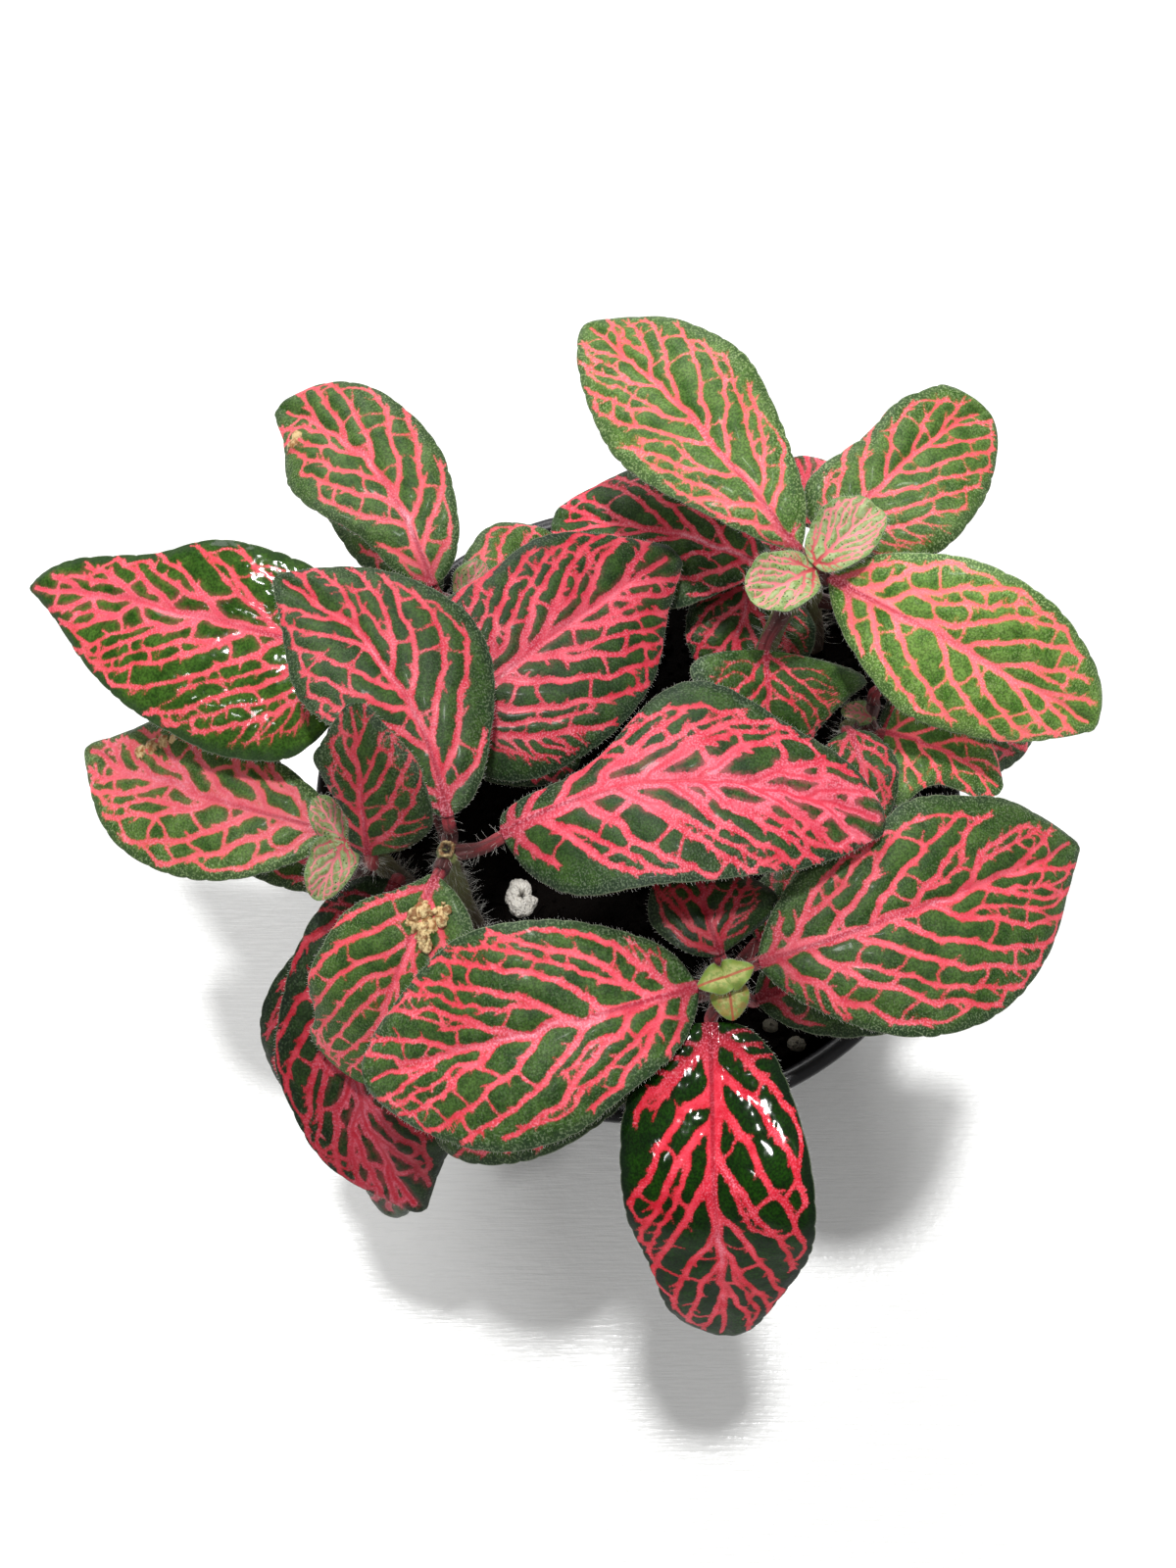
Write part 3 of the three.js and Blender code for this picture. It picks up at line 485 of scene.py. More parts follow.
# ---- materials ----
class Shader:
    """Builds a material from nodes. Inputs are numbers, colours or other nodes' outputs."""

    def __init__(self, name):
        self.material = bpy.data.materials.new(name)
        self.material.use_nodes = True
        self.tree = self.material.node_tree
        self.tree.nodes.clear()

    def add(self, kind, output, inputs, **settings):
        node = self.tree.nodes.new(kind)
        for key, value in settings.items():
            setattr(node, key, value)
        for key, value in inputs.items():
            if isinstance(value, bpy.types.NodeSocket):
                self.tree.links.new(value, node.inputs[key])
            else:
                node.inputs[key].default_value = value
        return node.outputs[output]

    def attribute(self, name, output="Fac"):
        return self.add("ShaderNodeAttribute", output, {}, attribute_name=name)

    def place(self):
        """The place on the object, in mm."""
        return self.stretched(self.add("ShaderNodeTexCoord", "Object", {}), 1 / MM, 1 / MM, 1 / MM)

    def sum(self, a, b):
        return self.add("ShaderNodeMath", 0, {0: a, 1: b}, operation="ADD")

    def times(self, value, *factors):
        for factor in factors:
            value = self.add("ShaderNodeMath", 0, {0: value, 1: factor}, operation="MULTIPLY")
        return value

    def centred(self, value, factor):
        """Noise moved to lie about 0, times factor."""
        return self.times(self.sum(value, -0.5), factor)

    def fade(self, value, low, high, start=0.0, end=1.0):
        """start where value is low, end where it is high, smooth between."""
        inputs = {"Value": value, "From Min": low, "From Max": high, "To Min": start, "To Max": end}
        return self.add("ShaderNodeMapRange", 0, inputs, interpolation_type="SMOOTHSTEP", clamp=True)

    def scaled(self, colour, factor):
        return self.add("ShaderNodeVectorMath", 0, {0: colour, "Scale": factor}, operation="SCALE")

    def noise(self, vector, scale, detail):
        return self.add("ShaderNodeTexNoise", 0, {"Vector": vector, "Scale": scale, "Detail": detail})

    def cells(self, vector, scale):
        """Distance to the nearest of scattered points."""
        return self.add("ShaderNodeTexVoronoi", 0, {"Vector": vector, "Scale": scale})

    def stretched(self, vector, x, y, z):
        return self.add("ShaderNodeMapping", 0, {"Vector": vector, "Scale": (x, y, z)})

    def mix(self, share, a, b):
        a, b = ((*colour, 1) if isinstance(colour, tuple) else colour for colour in (a, b))
        return self.add("ShaderNodeMix", 2, {0: share, 6: a, 7: b}, data_type="RGBA")

    def finish(self, colour, roughness, height=None, **values):
        """height is in mm. values are numbers and colours set on the shader itself."""
        inputs = {"Base Color": colour, "Roughness": roughness}
        if height is not None:
            bump = {"Height": height, "Distance": MM, "Strength": 1.0}
            inputs["Normal"] = self.add("ShaderNodeBump", 0, bump)
        inputs.update({key.replace("_", " "): value for key, value in values.items()})
        surface = self.add("ShaderNodeBsdfPrincipled", 0, inputs)
        self.add("ShaderNodeOutputMaterial", slice(0), {"Surface": surface})
        return self.material


# Colours of the blades, as linear red, green and blue. Of two colours, halo, margin, frost and vein_edge
# have that of a mature and that of a fresh leaf. The others are the ends between which noise or a
# distance mixes. The frost colours are pale grains that show stronger in patches of painted sheen.
TINTS = dict(
    green=((0.009, 0.030, 0.004), (0.031, 0.069, 0.012)),
    wet_green=((0.006, 0.030, 0.0008), (0.016, 0.060, 0.002)),
    fresh_green=((0.031, 0.084, 0.009), (0.094, 0.168, 0.032)),
    halo=((0.085, 0.028, 0.010), (0.26, 0.18, 0.025)),
    margin=((0.011, 0.022, 0.014), (0.045, 0.085, 0.026)),
    margin_line=(0.22, 0.26, 0.17),
    frost_and_sheen=((0.12, 0.165, 0.095), (0.27, 0.37, 0.14)),
    coral=((0.58, 0.028, 0.060), (0.83, 0.120, 0.168)),
    fresh_coral=(0.80, 0.22, 0.23),
    vein_edge=((0.46, 0.018, 0.022), (0.66, 0.11, 0.06)),
    midrib=(0.26, 0.010, 0.026),
    blade_foot=(0.16, 0.012, 0.020),
    coral_frost_and_sheen=(0.88, 0.36, 0.45),
    # painted highlight: the pale pink of a sheen on the veins
    painted_sheen=(0.92, 0.46, 0.56),
    flush=(0.84, 0.21, 0.29),
    red_line=(0.60, 0.022, 0.050),
    wash=(0.50, 0.075, 0.11),
    young=((0.17, 0.27, 0.07), (0.36, 0.42, 0.20)),
    young_margin=(0.13, 0.24, 0.06),
    young_halo=(0.34, 0.27, 0.12),
    young_frost=(0.38, 0.44, 0.28),
    young_dots=(0.025, 0.06, 0.02),
    young_vein=((0.42, 0.05, 0.05), (0.78, 0.24, 0.26)),
    bract=((0.17, 0.23, 0.04), (0.40, 0.40, 0.14)),
    bract_spots=(0.15, 0.24, 0.05),
    bract_brown=(0.34, 0.14, 0.05),
    bract_midrib=(0.36, 0.08, 0.04),
    scar=((0.26, 0.11, 0.035), (0.66, 0.48, 0.24)),
    underside=((0.10, 0.14, 0.06), (0.32, 0.12, 0.11)),
    underside_shade=(0.07, 0.10, 0.045),
)


class LeafSkin(Shader):
    """Skin of the blades.

    Attributes of their points in mm: distance to the edge of the nearest vein (edge), to the middle of the
    nearest main vein (core), to the midrib (middle) and to the margin (rim). along runs from 0 at the
    base to 1 at the tip, under is 1 on the lower side and scar is above 0 in a scar. fresh, flush, young,
    tone and deep are those of LOOKS. young is above 1 on bracts."""

    def __init__(self, name, wet):
        super().__init__(name)
        self.wet = wet
        self.flat = self.attribute("flat", "Vector")
        self.edge, self.core, self.middle = map(self.attribute, ("edge", "core", "middle"))
        self.rim, self.along, self.scar = map(self.attribute, ("rim", "along", "scar"))
        self.fresh, self.flush, self.young = map(self.attribute, ("fresh", "flush", "young"))
        self.blots, self.fuzz = self.noise(self.flat, 0.9, 2.0), self.noise(self.flat, 4.0, 3.0)
        self.grains, self.clouds = self.noise(self.flat, 4.2, 1.5), self.noise(self.flat, 0.4, 4.0)
        # patches where the pale grains show stronger: painted sheen
        self.sheen_patches = self.spots(0.16, 3.0, 0.35, 0.65)
        # the veins' edges are ragged
        ragged = self.sum(self.centred(self.blots, 0.16), self.centred(self.fuzz, 0.42))
        self.distance = self.sum(self.edge, ragged)
        self.vein = self.fade(self.distance, 0.11, -0.07)

    def spots(self, scale, detail, low, high, start=0.0, end=1.0):
        """start where noise is low, end where it is high."""
        return self.fade(self.noise(self.flat, scale, detail), low, high, start, end)

    def by_age(self, name):
        return self.mix(self.fresh, *TINTS[name])

    def greens(self):
        """Between the veins."""
        light = self.fade(self.clouds, 0.3, 0.7)
        mature = self.mix(light, *TINTS["wet_green" if self.wet else "green"])
        fresh = self.mix(light, *TINTS["fresh_green"])
        mottle = self.spots(3.4, 3.0, 0.36, 0.64, 0.70, 1.42)
        green = self.scaled(self.mix(self.fresh, mature, fresh), mottle)
        green = self.mix(self.fade(self.distance, 0.30, 0.0, 0.0, 0.5), green, self.by_age("halo"))
        band = self.fade(self.sum(self.rim, self.centred(self.blots, 2.2)), 2.0, 0.2, 0.0, 0.75)
        green = self.mix(band, green, self.by_age("margin"))
        # pale grains frost the skin near the margin and in patches of painted sheen
        where = self.sum(self.times(self.sheen_patches, 0.45), self.fade(self.rim, 4.5, 0.5, 0.12, 0.85))
        frost_and_sheen = self.times(self.fade(self.grains, 0.50, 0.66), where, 0.07 if self.wet else 0.63)
        green = self.mix(frost_and_sheen, green, self.by_age("frost_and_sheen"))
        # pink washes over the green along the midrib
        wash = self.times(self.flush, self.spots(0.9, 3.0, 0.34, 0.6), self.fade(self.distance, 0.75, 0.05))
        return self.mix(self.times(wash, 0.75), green, TINTS["wash"])

    def corals(self):
        """Pink of the veins."""
        coral = self.mix(self.spots(0.45, 4.0, 0.3, 0.7), *TINTS["coral"])
        coral = self.mix(self.times(self.fresh, 0.6), coral, TINTS["fresh_coral"])
        coral = self.mix(self.fade(self.distance, -0.34, 0.02, 0.0, 0.6), coral, self.by_age("vein_edge"))
        axis = self.times(self.fade(self.middle, 0.45, 0.1), self.fade(self.along, 0.7, 0.1, 0.0, 0.75))
        coral = self.mix(axis, coral, TINTS["midrib"])
        coral = self.mix(self.fade(self.along, 0.16, -0.02, 0.0, 0.85), coral, TINTS["blade_foot"])
        # pale grains on the veins, stronger in patches of painted sheen
        frost_and_sheen = self.times(self.fade(self.grains, 0.46, 0.68), self.sum(self.times(self.sheen_patches, 0.38), 0.10))
        coral = self.mix(frost_and_sheen, coral, TINTS["coral_frost_and_sheen"])
        # painted highlight: a paler pink sheen in patches deep inside the veins, less towards the base
        painted_sheen = self.times(self.fade(self.distance, -0.22, -0.52), self.spots(0.13, 2.0, 0.46, 0.66))
        painted_sheen = self.times(painted_sheen, self.fade(self.along, 0.08, 0.3))
        painted_sheen = self.times(painted_sheen, self.fade(self.grains, 0.34, 0.6, 0.25, 0.8))
        coral = self.mix(painted_sheen, coral, TINTS["painted_sheen"])
        # where the pink spreads it is paler, and the veins show in it as redder lines
        flush = self.times(self.flush, self.fade(self.grains, 0.35, 0.65, 0.15, 0.75))
        coral = self.mix(flush, coral, TINTS["flush"])
        line = self.fade(self.sum(self.core, self.centred(self.fuzz, 0.25)), 0.34, 0.12)
        line = self.times(line, self.sum(self.times(self.flush, 0.7), 0.18))
        return self.mix(line, coral, TINTS["red_line"])

    def unfolding(self):
        """A young blade is pale, with fine dark dots and thin pink veins."""
        pale = self.mix(self.spots(1.2, 2.0, 0.35, 0.65), *TINTS["young"])
        pale = self.mix(self.fade(self.rim, 1.1, 0.3, 0.0, 0.8), pale, TINTS["young_margin"])
        pale = self.mix(self.fade(self.edge, 0.30, 0.0, 0.0, 0.6), pale, TINTS["young_halo"])
        pale = self.mix(self.fade(self.grains, 0.5, 0.65, 0.0, 0.5), pale, TINTS["young_frost"])
        dots = self.fade(self.cells(self.flat, 1.9), 0.26, 0.16, 0.0, 0.85)
        pale = self.mix(dots, pale, TINTS["young_dots"])
        thread = self.fade(self.sum(self.edge, self.centred(self.fuzz, 0.10)), 0.035, -0.02)
        return self.mix(thread, pale, self.mix(self.fade(self.along, 0.0, 0.5), *TINTS["young_vein"]))

    def bract(self):
        skin = self.mix(self.fade(self.rim, 0.2, 1.6), *TINTS["bract"])
        skin = self.mix(self.spots(2.2, 3.0, 0.42, 0.6, 0.0, 0.7), skin, TINTS["bract_spots"])
        brown = self.times(self.spots(1.5, 3.0, 0.4, 0.6), self.fade(self.young, 1.5, 2.5))
        skin = self.mix(brown, skin, TINTS["bract_brown"])
        return self.mix(self.fade(self.middle, 0.22, 0.08, 0.0, 0.9), skin, TINTS["bract_midrib"])

    def upper_side(self):
        skin = self.mix(self.vein, self.greens(), self.corals())
        pale = self.mix(self.fade(self.young, 1.2, 1.4), self.unfolding(), self.bract())
        skin = self.mix(self.young, skin, pale)
        ragged = self.centred(self.noise(self.flat, 1.3, 4.0), 1.8)
        ragged = self.times(ragged, self.fade(self.scar, 0.0, 0.15))
        dried = self.mix(self.spots(1.6, 4.0, 0.35, 0.65), *TINTS["scar"])
        skin = self.mix(self.fade(self.sum(self.scar, ragged), 0.16, 0.36), skin, dried)
        line = self.fade(self.sum(self.rim, self.centred(self.fuzz, 0.2)), 0.16, 0.04, 0.0, 0.5)
        return self.mix(line, skin, TINTS["margin_line"])

    def lower_side(self):
        ribs = self.fade(self.sum(self.edge, self.centred(self.fuzz, 0.3)), 0.35, -0.3)
        skin = self.mix(ribs, *TINTS["underside"])
        return self.mix(self.times(self.clouds, 0.5), skin, TINTS["underside_shade"])


def leaf_material(name, wet):
    s = LeafSkin(name, wet)
    colour = s.mix(s.fade(s.attribute("under"), 0.45, 0.55), s.upper_side(), s.lower_side())
    # tone scales the colours, which paints shade into some leaves and light into others
    colour = s.scaled(colour, s.attribute("tone"))
    colour = s.add("ShaderNodeGamma", 0, {"Color": colour, "Gamma": s.attribute("deep")})
    rough = s.sum(s.fade(s.vein, 0.0, 1.0, 0.50, 0.42), s.centred(s.grains, 0.35))
    height = s.sum(s.times(s.grains, 0.045), s.times(s.noise(s.flat, 2.4, 3.0), 0.06))
    if wet:
        return s.finish(colour, rough, height, Coat_Weight=0.20, Coat_Roughness=0.09, Specular_IOR_Level=0.02)
    return s.finish(colour, rough, height, Coat_Weight=0.02, Coat_Roughness=0.12, Specular_IOR_Level=0.16)


def stalk_material(name, low, high):
    """Skin of stems and stalks. The attribute tip runs from 0 to 1 and turns low into high."""
    s = Shader(name)
    flat, tip = s.attribute("flat", "Vector"), s.attribute("tip")
    streaks = s.noise(s.stretched(flat, 3.0, 0.35, 1.0), 1.0, 3.0)
    grains = s.noise(flat, 6.0, 2.0)
    red, pale = (0.12, 0.03, 0.03), (0.45, 0.42, 0.33)
    colour = s.mix(s.fade(s.sum(tip, s.centred(streaks, 0.8)), 0.1, 0.9), low, high)
    colour = s.mix(s.fade(streaks, 0.55, 0.8, 0.0, 0.5), colour, red)
    colour = s.mix(s.fade(grains, 0.55, 0.75, 0.0, 0.16), colour, pale)
    height = s.sum(s.times(streaks, 0.25), s.times(grains, 0.08))
    return s.finish(colour, 0.5, height, Sheen_Weight=0.08, Sheen_Roughness=0.4)


def crust_material():
    s = Shader("dried tissue")
    place = s.place()
    brown, tan, painted_hole_shade = (0.26, 0.12, 0.04), (0.72, 0.56, 0.28), (0.02, 0.008, 0.004)
    colour = s.mix(s.fade(s.noise(place, 1.3, 4.0), 0.38, 0.62), brown, tan)
    # painted shade: near black where pit is high, deepest in a stub's hole
    colour = s.mix(s.attribute("pit"), colour, painted_hole_shade)
    return s.finish(colour, 0.6, s.times(s.noise(place, 3.5, 4.0), 0.3))


def hair_material():
    s = Shader("fine white hair")
    root, end = (0.70, 0.68, 0.60), (0.92, 0.92, 0.88)
    return s.finish(s.mix(s.attribute("tip"), root, end), 0.45)


def soil_material():
    s = Shader("damp black peat")
    place = s.place()
    black, brown, dry = (0.0008, 0.0006, 0.0005), (0.0045, 0.0032, 0.0026), (0.05, 0.034, 0.024)
    lumps, dust = s.noise(place, 0.5, 4.0), s.noise(place, 3.0, 3.0)
    colour = s.mix(lumps, black, brown)
    colour = s.mix(s.fade(dust, 0.64, 0.8, 0.0, 0.3), colour, dry)
    return s.finish(colour, s.fade(dust, 0.3, 0.7, 0.7, 0.95), s.times(dust, 0.25), Specular_IOR_Level=0.04)


def perlite_material():
    """The attribute dirt is the share of peat on a grain, and pit is 1 in its cracks and its pit."""
    s = Shader("perlite")
    place = s.place()
    cream, white, painted_hole_shade = (0.78, 0.73, 0.62), (0.95, 0.93, 0.89), (0.02, 0.012, 0.01)
    specks, dark_peat, pale_peat = (0.10, 0.07, 0.05), (0.03, 0.025, 0.014), (0.10, 0.09, 0.05)
    mottle = s.noise(place, 2.2, 4.0)
    colour = s.mix(mottle, cream, white)
    colour = s.mix(s.fade(s.noise(place, 5.0, 2.0), 0.62, 0.72, 0.0, 0.5), colour, specks)
    colour = s.mix(s.attribute("dirt"), colour, s.mix(mottle, dark_peat, pale_peat))
    # painted shade: near black in the pit and in some cracks
    colour = s.mix(s.attribute("pit"), colour, painted_hole_shade)
    return s.finish(colour, 0.85, s.times(s.noise(place, 3.0, 4.0), 0.35))


def pot_material():
    s = Shader("black plastic")
    place = s.place()
    black, smeared, dusty = (0.0035, 0.0035, 0.0045), (0.009, 0.009, 0.011), (0.08, 0.07, 0.06)
    smears, dust = s.noise(s.stretched(place, 1.0, 1.0, 0.25), 0.12, 4.0), s.noise(place, 1.6, 4.0)
    colour = s.mix(smears, black, smeared)
    colour = s.mix(s.fade(dust, 0.62, 0.78, 0.0, 0.16), colour, dusty)
    scuffs = s.noise(s.stretched(place, 1.0, 1.0, 6.0), 0.4, 3.0)
    rough = s.sum(s.fade(smears, 0.3, 0.7, 0.30, 0.42), s.fade(scuffs, 0.6, 0.75, 0.0, 0.12))
    return s.finish(colour, rough, s.times(s.noise(place, 2.5, 3.0), 0.02), Specular_IOR_Level=0.3)


def floor_material():
    s = Shader("pale painted table")
    place = s.place()
    strokes = s.noise(s.stretched(place, 0.14, 2.0, 1.0), 1.0, 3.0)
    wide = s.noise(s.stretched(place, 0.02, 0.3, 1.0), 1.0, 2.0)
    colour = s.mix(s.times(strokes, wide), (0.83, 0.83, 0.82), (0.86, 0.86, 0.85))
    height = s.sum(s.times(strokes, 0.10), s.times(s.noise(place, 0.7, 2.0), 0.08))
    return s.finish(colour, s.fade(strokes, 0.3, 0.7, 0.20, 0.42), height)


SKIN = {
    "dull": leaf_material("nerve leaf", False),
    "wet": leaf_material("wet nerve leaf", True),
    "stalk": stalk_material("leaf stalk", (0.075, 0.012, 0.012), (0.30, 0.022, 0.034)),
    "stem": stalk_material("hairy stem", (0.10, 0.065, 0.045), (0.17, 0.19, 0.055)),
    "hair": hair_material(),
    "crust": crust_material(),
    "soil": soil_material(),
    "perlite": perlite_material(),
    "pot": pot_material(),
    "floor": floor_material(),
}


# ---- the blade's shape, as in the solids ----
class Blade:
    def __init__(self, base, tip, arch, bow, left, right, widest, full, roll, trim=None):
        self.trim = trim
        self.base, self.tip = np.array(base, float), np.array(tip, float)
        self.arch, self.bow, self.left, self.right = arch, bow, left, right
        self.widest, self.full, self.roll = widest, full, math.radians(roll)
        self.length = np.linalg.norm(self.tip - self.base)

    def profile(self, s):
        """Half width at s, from 0 at the base to 1 at the tip, as a share of the widest."""
        m = self.widest
        return (s / m) ** (2 * self.full * m) * ((1 - s) / (1 - m)) ** (2 * self.full * (1 - m))

    def enlarged(self, zoom):
        """A blade zoom times as long and wide, without the trim."""
        shape = (self.arch, self.bow, zoom * self.left, zoom * self.right, self.widest, self.full)
        return Blade(self.base * zoom, self.tip * zoom, *shape, math.degrees(self.roll))

    def width(self, s, side):
        """Half widths on the left (side 0) or right (side 1) at s."""
        plain = (self.left, self.right)[side] * self.profile(s)
        if self.trim is None:
            return plain
        # a smooth curve (cubic B-spline) whose knots lie at each tenth of the length
        away = abs(10 * (s[..., None] - np.linspace(-0.1, 1.1, 13)))
        spread = np.where(away < 1, 2 / 3 - away**2 + away**3 / 2, np.maximum(2 - away, 0) ** 3 / 6)
        ends = smooth(s, 0, 0.03) * smooth(1 - s, 0, 0.03)
        return np.maximum(plain + ends * (spread @ np.array(self.trim[side])), 0.3 * plain)

    def halves(self, y):
        """Half widths left and right at y mm from the base."""
        s = np.clip(y / self.length, 1e-6, 1 - 1e-6)
        return self.width(s, 0), self.width(s, 1)

    def midrib(self, s):
        """Point, tangent, and directions to the right and upwards at each s."""
        s = np.asarray(s, float)[..., None]
        along = unit(self.tip - self.base)
        right = unit(np.cross(along, UP))
        up = np.cross(right, along)
        hump, slope = 4 * s * (1 - s), 4 * (1 - 2 * s)
        sway = self.arch * up + self.bow * right
        point = self.base + along * self.length * s + sway * hump
        tangent = unit(along * self.length + sway * slope)
        side = unit(np.cross(tangent, up))
        across = side * math.cos(self.roll) + np.cross(side, tangent) * math.sin(self.roll)
        return point, tangent, across, np.cross(across, tangent)

    def surface(self, s, v, notches):
        """Points of the middle surface over a grid of s and v, the upward directions and half widths.

        v runs from -1 at the left margin to 1 at the right one. notches adds to the half widths."""
        point, _, across, normal = self.midrib(s)
        share = self.profile(s)[:, None]
        left, right = self.width(s, 0) + notches[0], self.width(s, 1) + notches[1]
        half = np.where(v < 0, left[:, None], right[:, None])
        rise = math.tan(math.radians(BLADE["fold"])) * abs(v) - BLADE["curl"] * v * v
        turns = BLADE["waves"] * s[:, None] + np.where(v < 0, 0.5, 0) + self.tip[0] / 10
        ripple = BLADE["wave"] * v * v * share * np.sin(2 * np.pi * turns)
        lift = half * rise + ripple
        points = point[:, None] + across[:, None] * (half * v)[..., None] + normal[:, None] * lift[..., None]
        return points, np.broadcast_to(normal[:, None], points.shape), half


# ---- veins, drawn on the flat blade: the base is at (0, 0) and the tip at (0, length) ----
CELL = 0.16         # spacing of the flat grid
REACH = 2.2         # how far from a vein's middle distances are drawn
FAR = 3.0           # distance drawn where no vein is near
STRIDE = 0.4        # length of each piece of a side vein
STEPS = 120         # most pieces of a side vein
FILLET = 0.36       # size of the rounding where veins meet
SMALL = 20          # length of a blade under which it has thin veins that run close to the margin
NEAREST = 1.45      # gap to another side vein at which one ends
FORK = 3.7          # gap between side veins at which one forks
LONGEST_LINK = 6.5  # of the fine veins between side veins
LONGEST_LOOP = 7.0  # of those near the margin
SPUR_ROOM = 5.0     # distance to the margin within which side veins have spurs
# Radii of the veins that branch off.
TWIG_RADIUS = dict(foot=0.26, spur=0.24, loop=0.22, thorn=0.17, end=0.07)
MIDRIB, EVEN, ODD, LINK, TWIG = range(5)    # kinds of veins. Side veins are even and odd by turns.


class Veins:
    """Grows the veins of one blade as straight pieces: both ends, both radii and the kind."""

    def __init__(self, blade, look, random):
        self.blade, self.random, self.pieces = blade, random, []
        small = blade.length < SMALL
        self.size = look["width"] * (0.75 if small else 1.0)
        self.spread = look["spread"]
        self.border = 0.9 if small else 1.3     # between the veins' ends and the margin
        self.midrib()
        for side in (-1, 1):
            self.half(side, look["ribs"])
        self.sway()

    def add(self, path, first, last, kind):
        """Radii run from first to last."""
        self.add_pieces(path, np.linspace(first, last, len(path)) * self.size, kind)

    def add_pieces(self, path, radii, kind):
        for i in range(len(path) - 1):
            self.pieces.append((*path[i], *path[i + 1], radii[i], radii[i + 1], kind))

    def midrib(self):
        y = np.linspace(-0.5, self.blade.length - 1.2 * self.border, 60)
        self.middle = np.c_[np.zeros(60), y]
        share = y / self.blade.length
        radii = self.size * np.interp(share, [0, 0.25, 0.6, 0.97], [0.95, 0.82, 0.58, 0.24])
        self.add_pieces(self.middle, radii, MIDRIB)

    def room(self, point, side):
        """Distance to the margin."""
        return self.blade.halves(point[1])[side > 0] - abs(point[0])

    def heading(self, point, side):
        """Direction of the side veins at a point, from the tip's direction: out near the midrib, then
        along the margin."""
        x, y = point
        low, here, high = (self.blade.halves(y + d)[side > 0] for d in (-1.0, 0.0, 1.0))
        share = y / self.blade.length
        degrees = np.interp(share, [0, 0.1, 0.25, 0.5, 0.8], [66, 52, 43, 35, 24])
        inner = self.spread * math.radians(degrees)
        outer = inner + 0.50 * (min(math.atan((high - low) / 2), inner) - inner)
        blend = np.clip(abs(x) / max(here, 0.5), 0, 1) ** 1.5
        return inner + (outer - inner) * blend

    def flow(self, start, side, lean=0.0, others=()):
        """A side vein from start to near the margin, that at first leans to the midrib by lean.

        It ends where it meets one of the others."""
        path, border = [np.asarray(start, float)], self.border * self.random.uniform(0.9, 1.35)
        top = self.blade.length - 1.2 * self.border
        for i in range(STEPS):
            run = i * STRIDE
            turn = self.heading(path[-1], side) - lean * math.exp(-run / 3.2)
            point = path[-1] + STRIDE * np.array([side * math.sin(turn), math.cos(turn)])
            path.append(point)
            if self.room(point, side) < border or point[1] > top:
                break
            if run > 5 and any(np.hypot(*(other - point).T).min() < NEAREST for other in others):
                break
        return np.array(path)

    def half(self, side, count):
        """All veins on one side of the midrib."""
        lines = self.side_veins(side, count)
        self.foot_veins(lines[0][0], side)
        for k, (path, thick, _) in enumerate(lines):
            self.add(path, thick * 1.1, thick * 0.5, (EVEN, ODD)[k % 2])
            self.antlers(path, side, thick)
            self.thorns(path)
        for k, (path, thick, inner) in enumerate(lines):
            above = self.middle[self.middle[:, 1] > path[0, 1]]
            if k + 1 < len(lines):
                above = lines[k + 1][0]
                self.loop(path, above, side)
                joined = inner[inner[:, 1] < above[0, 1]]
                above = np.vstack([joined, above]) if len(joined) else above
            self.links(path, above, side)

    def side_veins(self, side, count):
        """The side veins and their forks: path, thickness, and the midrib above where it leaves."""
        random = self.random
        order = (np.arange(count) + random.uniform(-0.18, 0.18, count) + (side > 0) * 0.4) / count
        ribs = []
        for low in self.blade.length * (0.025 + 0.86 * np.maximum(order, 0) ** 1.35):
            ribs.append(self.flow((0, low), side, others=ribs[-1:]))
        lines = []
        for k, path in enumerate(ribs):
            thick = 0.54 - 0.13 * k / len(ribs)
            lines.append((path, thick, self.middle[self.middle[:, 1] > path[0, 1]]))
            above = ribs[k + 1] if k + 1 < len(ribs) else self.middle
            gaps = np.hypot(*(path[:, None] - above[None]).T).min(0)
            wide = np.flatnonzero((gaps > FORK * random.uniform(0.85, 1.15)) & (np.arange(len(path)) > 9))
            if len(wide) and len(path) - wide[0] > 8:
                lean = math.radians(random.uniform(30, 42))
                branch = self.flow(path[wide[0]], side, lean, [path, above])
                lines.append((branch, thick * 0.68, path[:0]))
        return lines

    def foot_veins(self, lowest, side):
        """Short veins from the lowest side vein down into the foot of the blade."""
        for i in range(4, len(lowest) - 3, 5):
            if self.room(lowest[i], side) > 3.5:
                branch = self.flow(lowest[i], side, -math.radians(self.random.uniform(50, 70)))[:14]
                self.add(branch, TWIG_RADIUS["foot"], 0.16, TWIG)
                self.antlers(branch, side, TWIG_RADIUS["foot"])

    def loop(self, path, above, side):
        """Bends most side veins on to the next one near the margin."""
        rooms = np.array([self.room(point, side) for point in above])
        near = np.flatnonzero(rooms < self.border + self.random.uniform(0.5, 1.4))
        if not len(near) or self.random.random() > 0.92:
            return
        target = above[near[0]]
        span = np.hypot(*(target - path[-1]))
        if 0.8 < span < LONGEST_LOOP:
            bend = (path[-1] + target) / 2 + np.array([side * 0.22 * span, 0.0])
            arc = bezier((path[-1], bend, target), max(int(span / STRIDE), 5))
            self.add(arc, TWIG_RADIUS["loop"], 0.2, LINK)

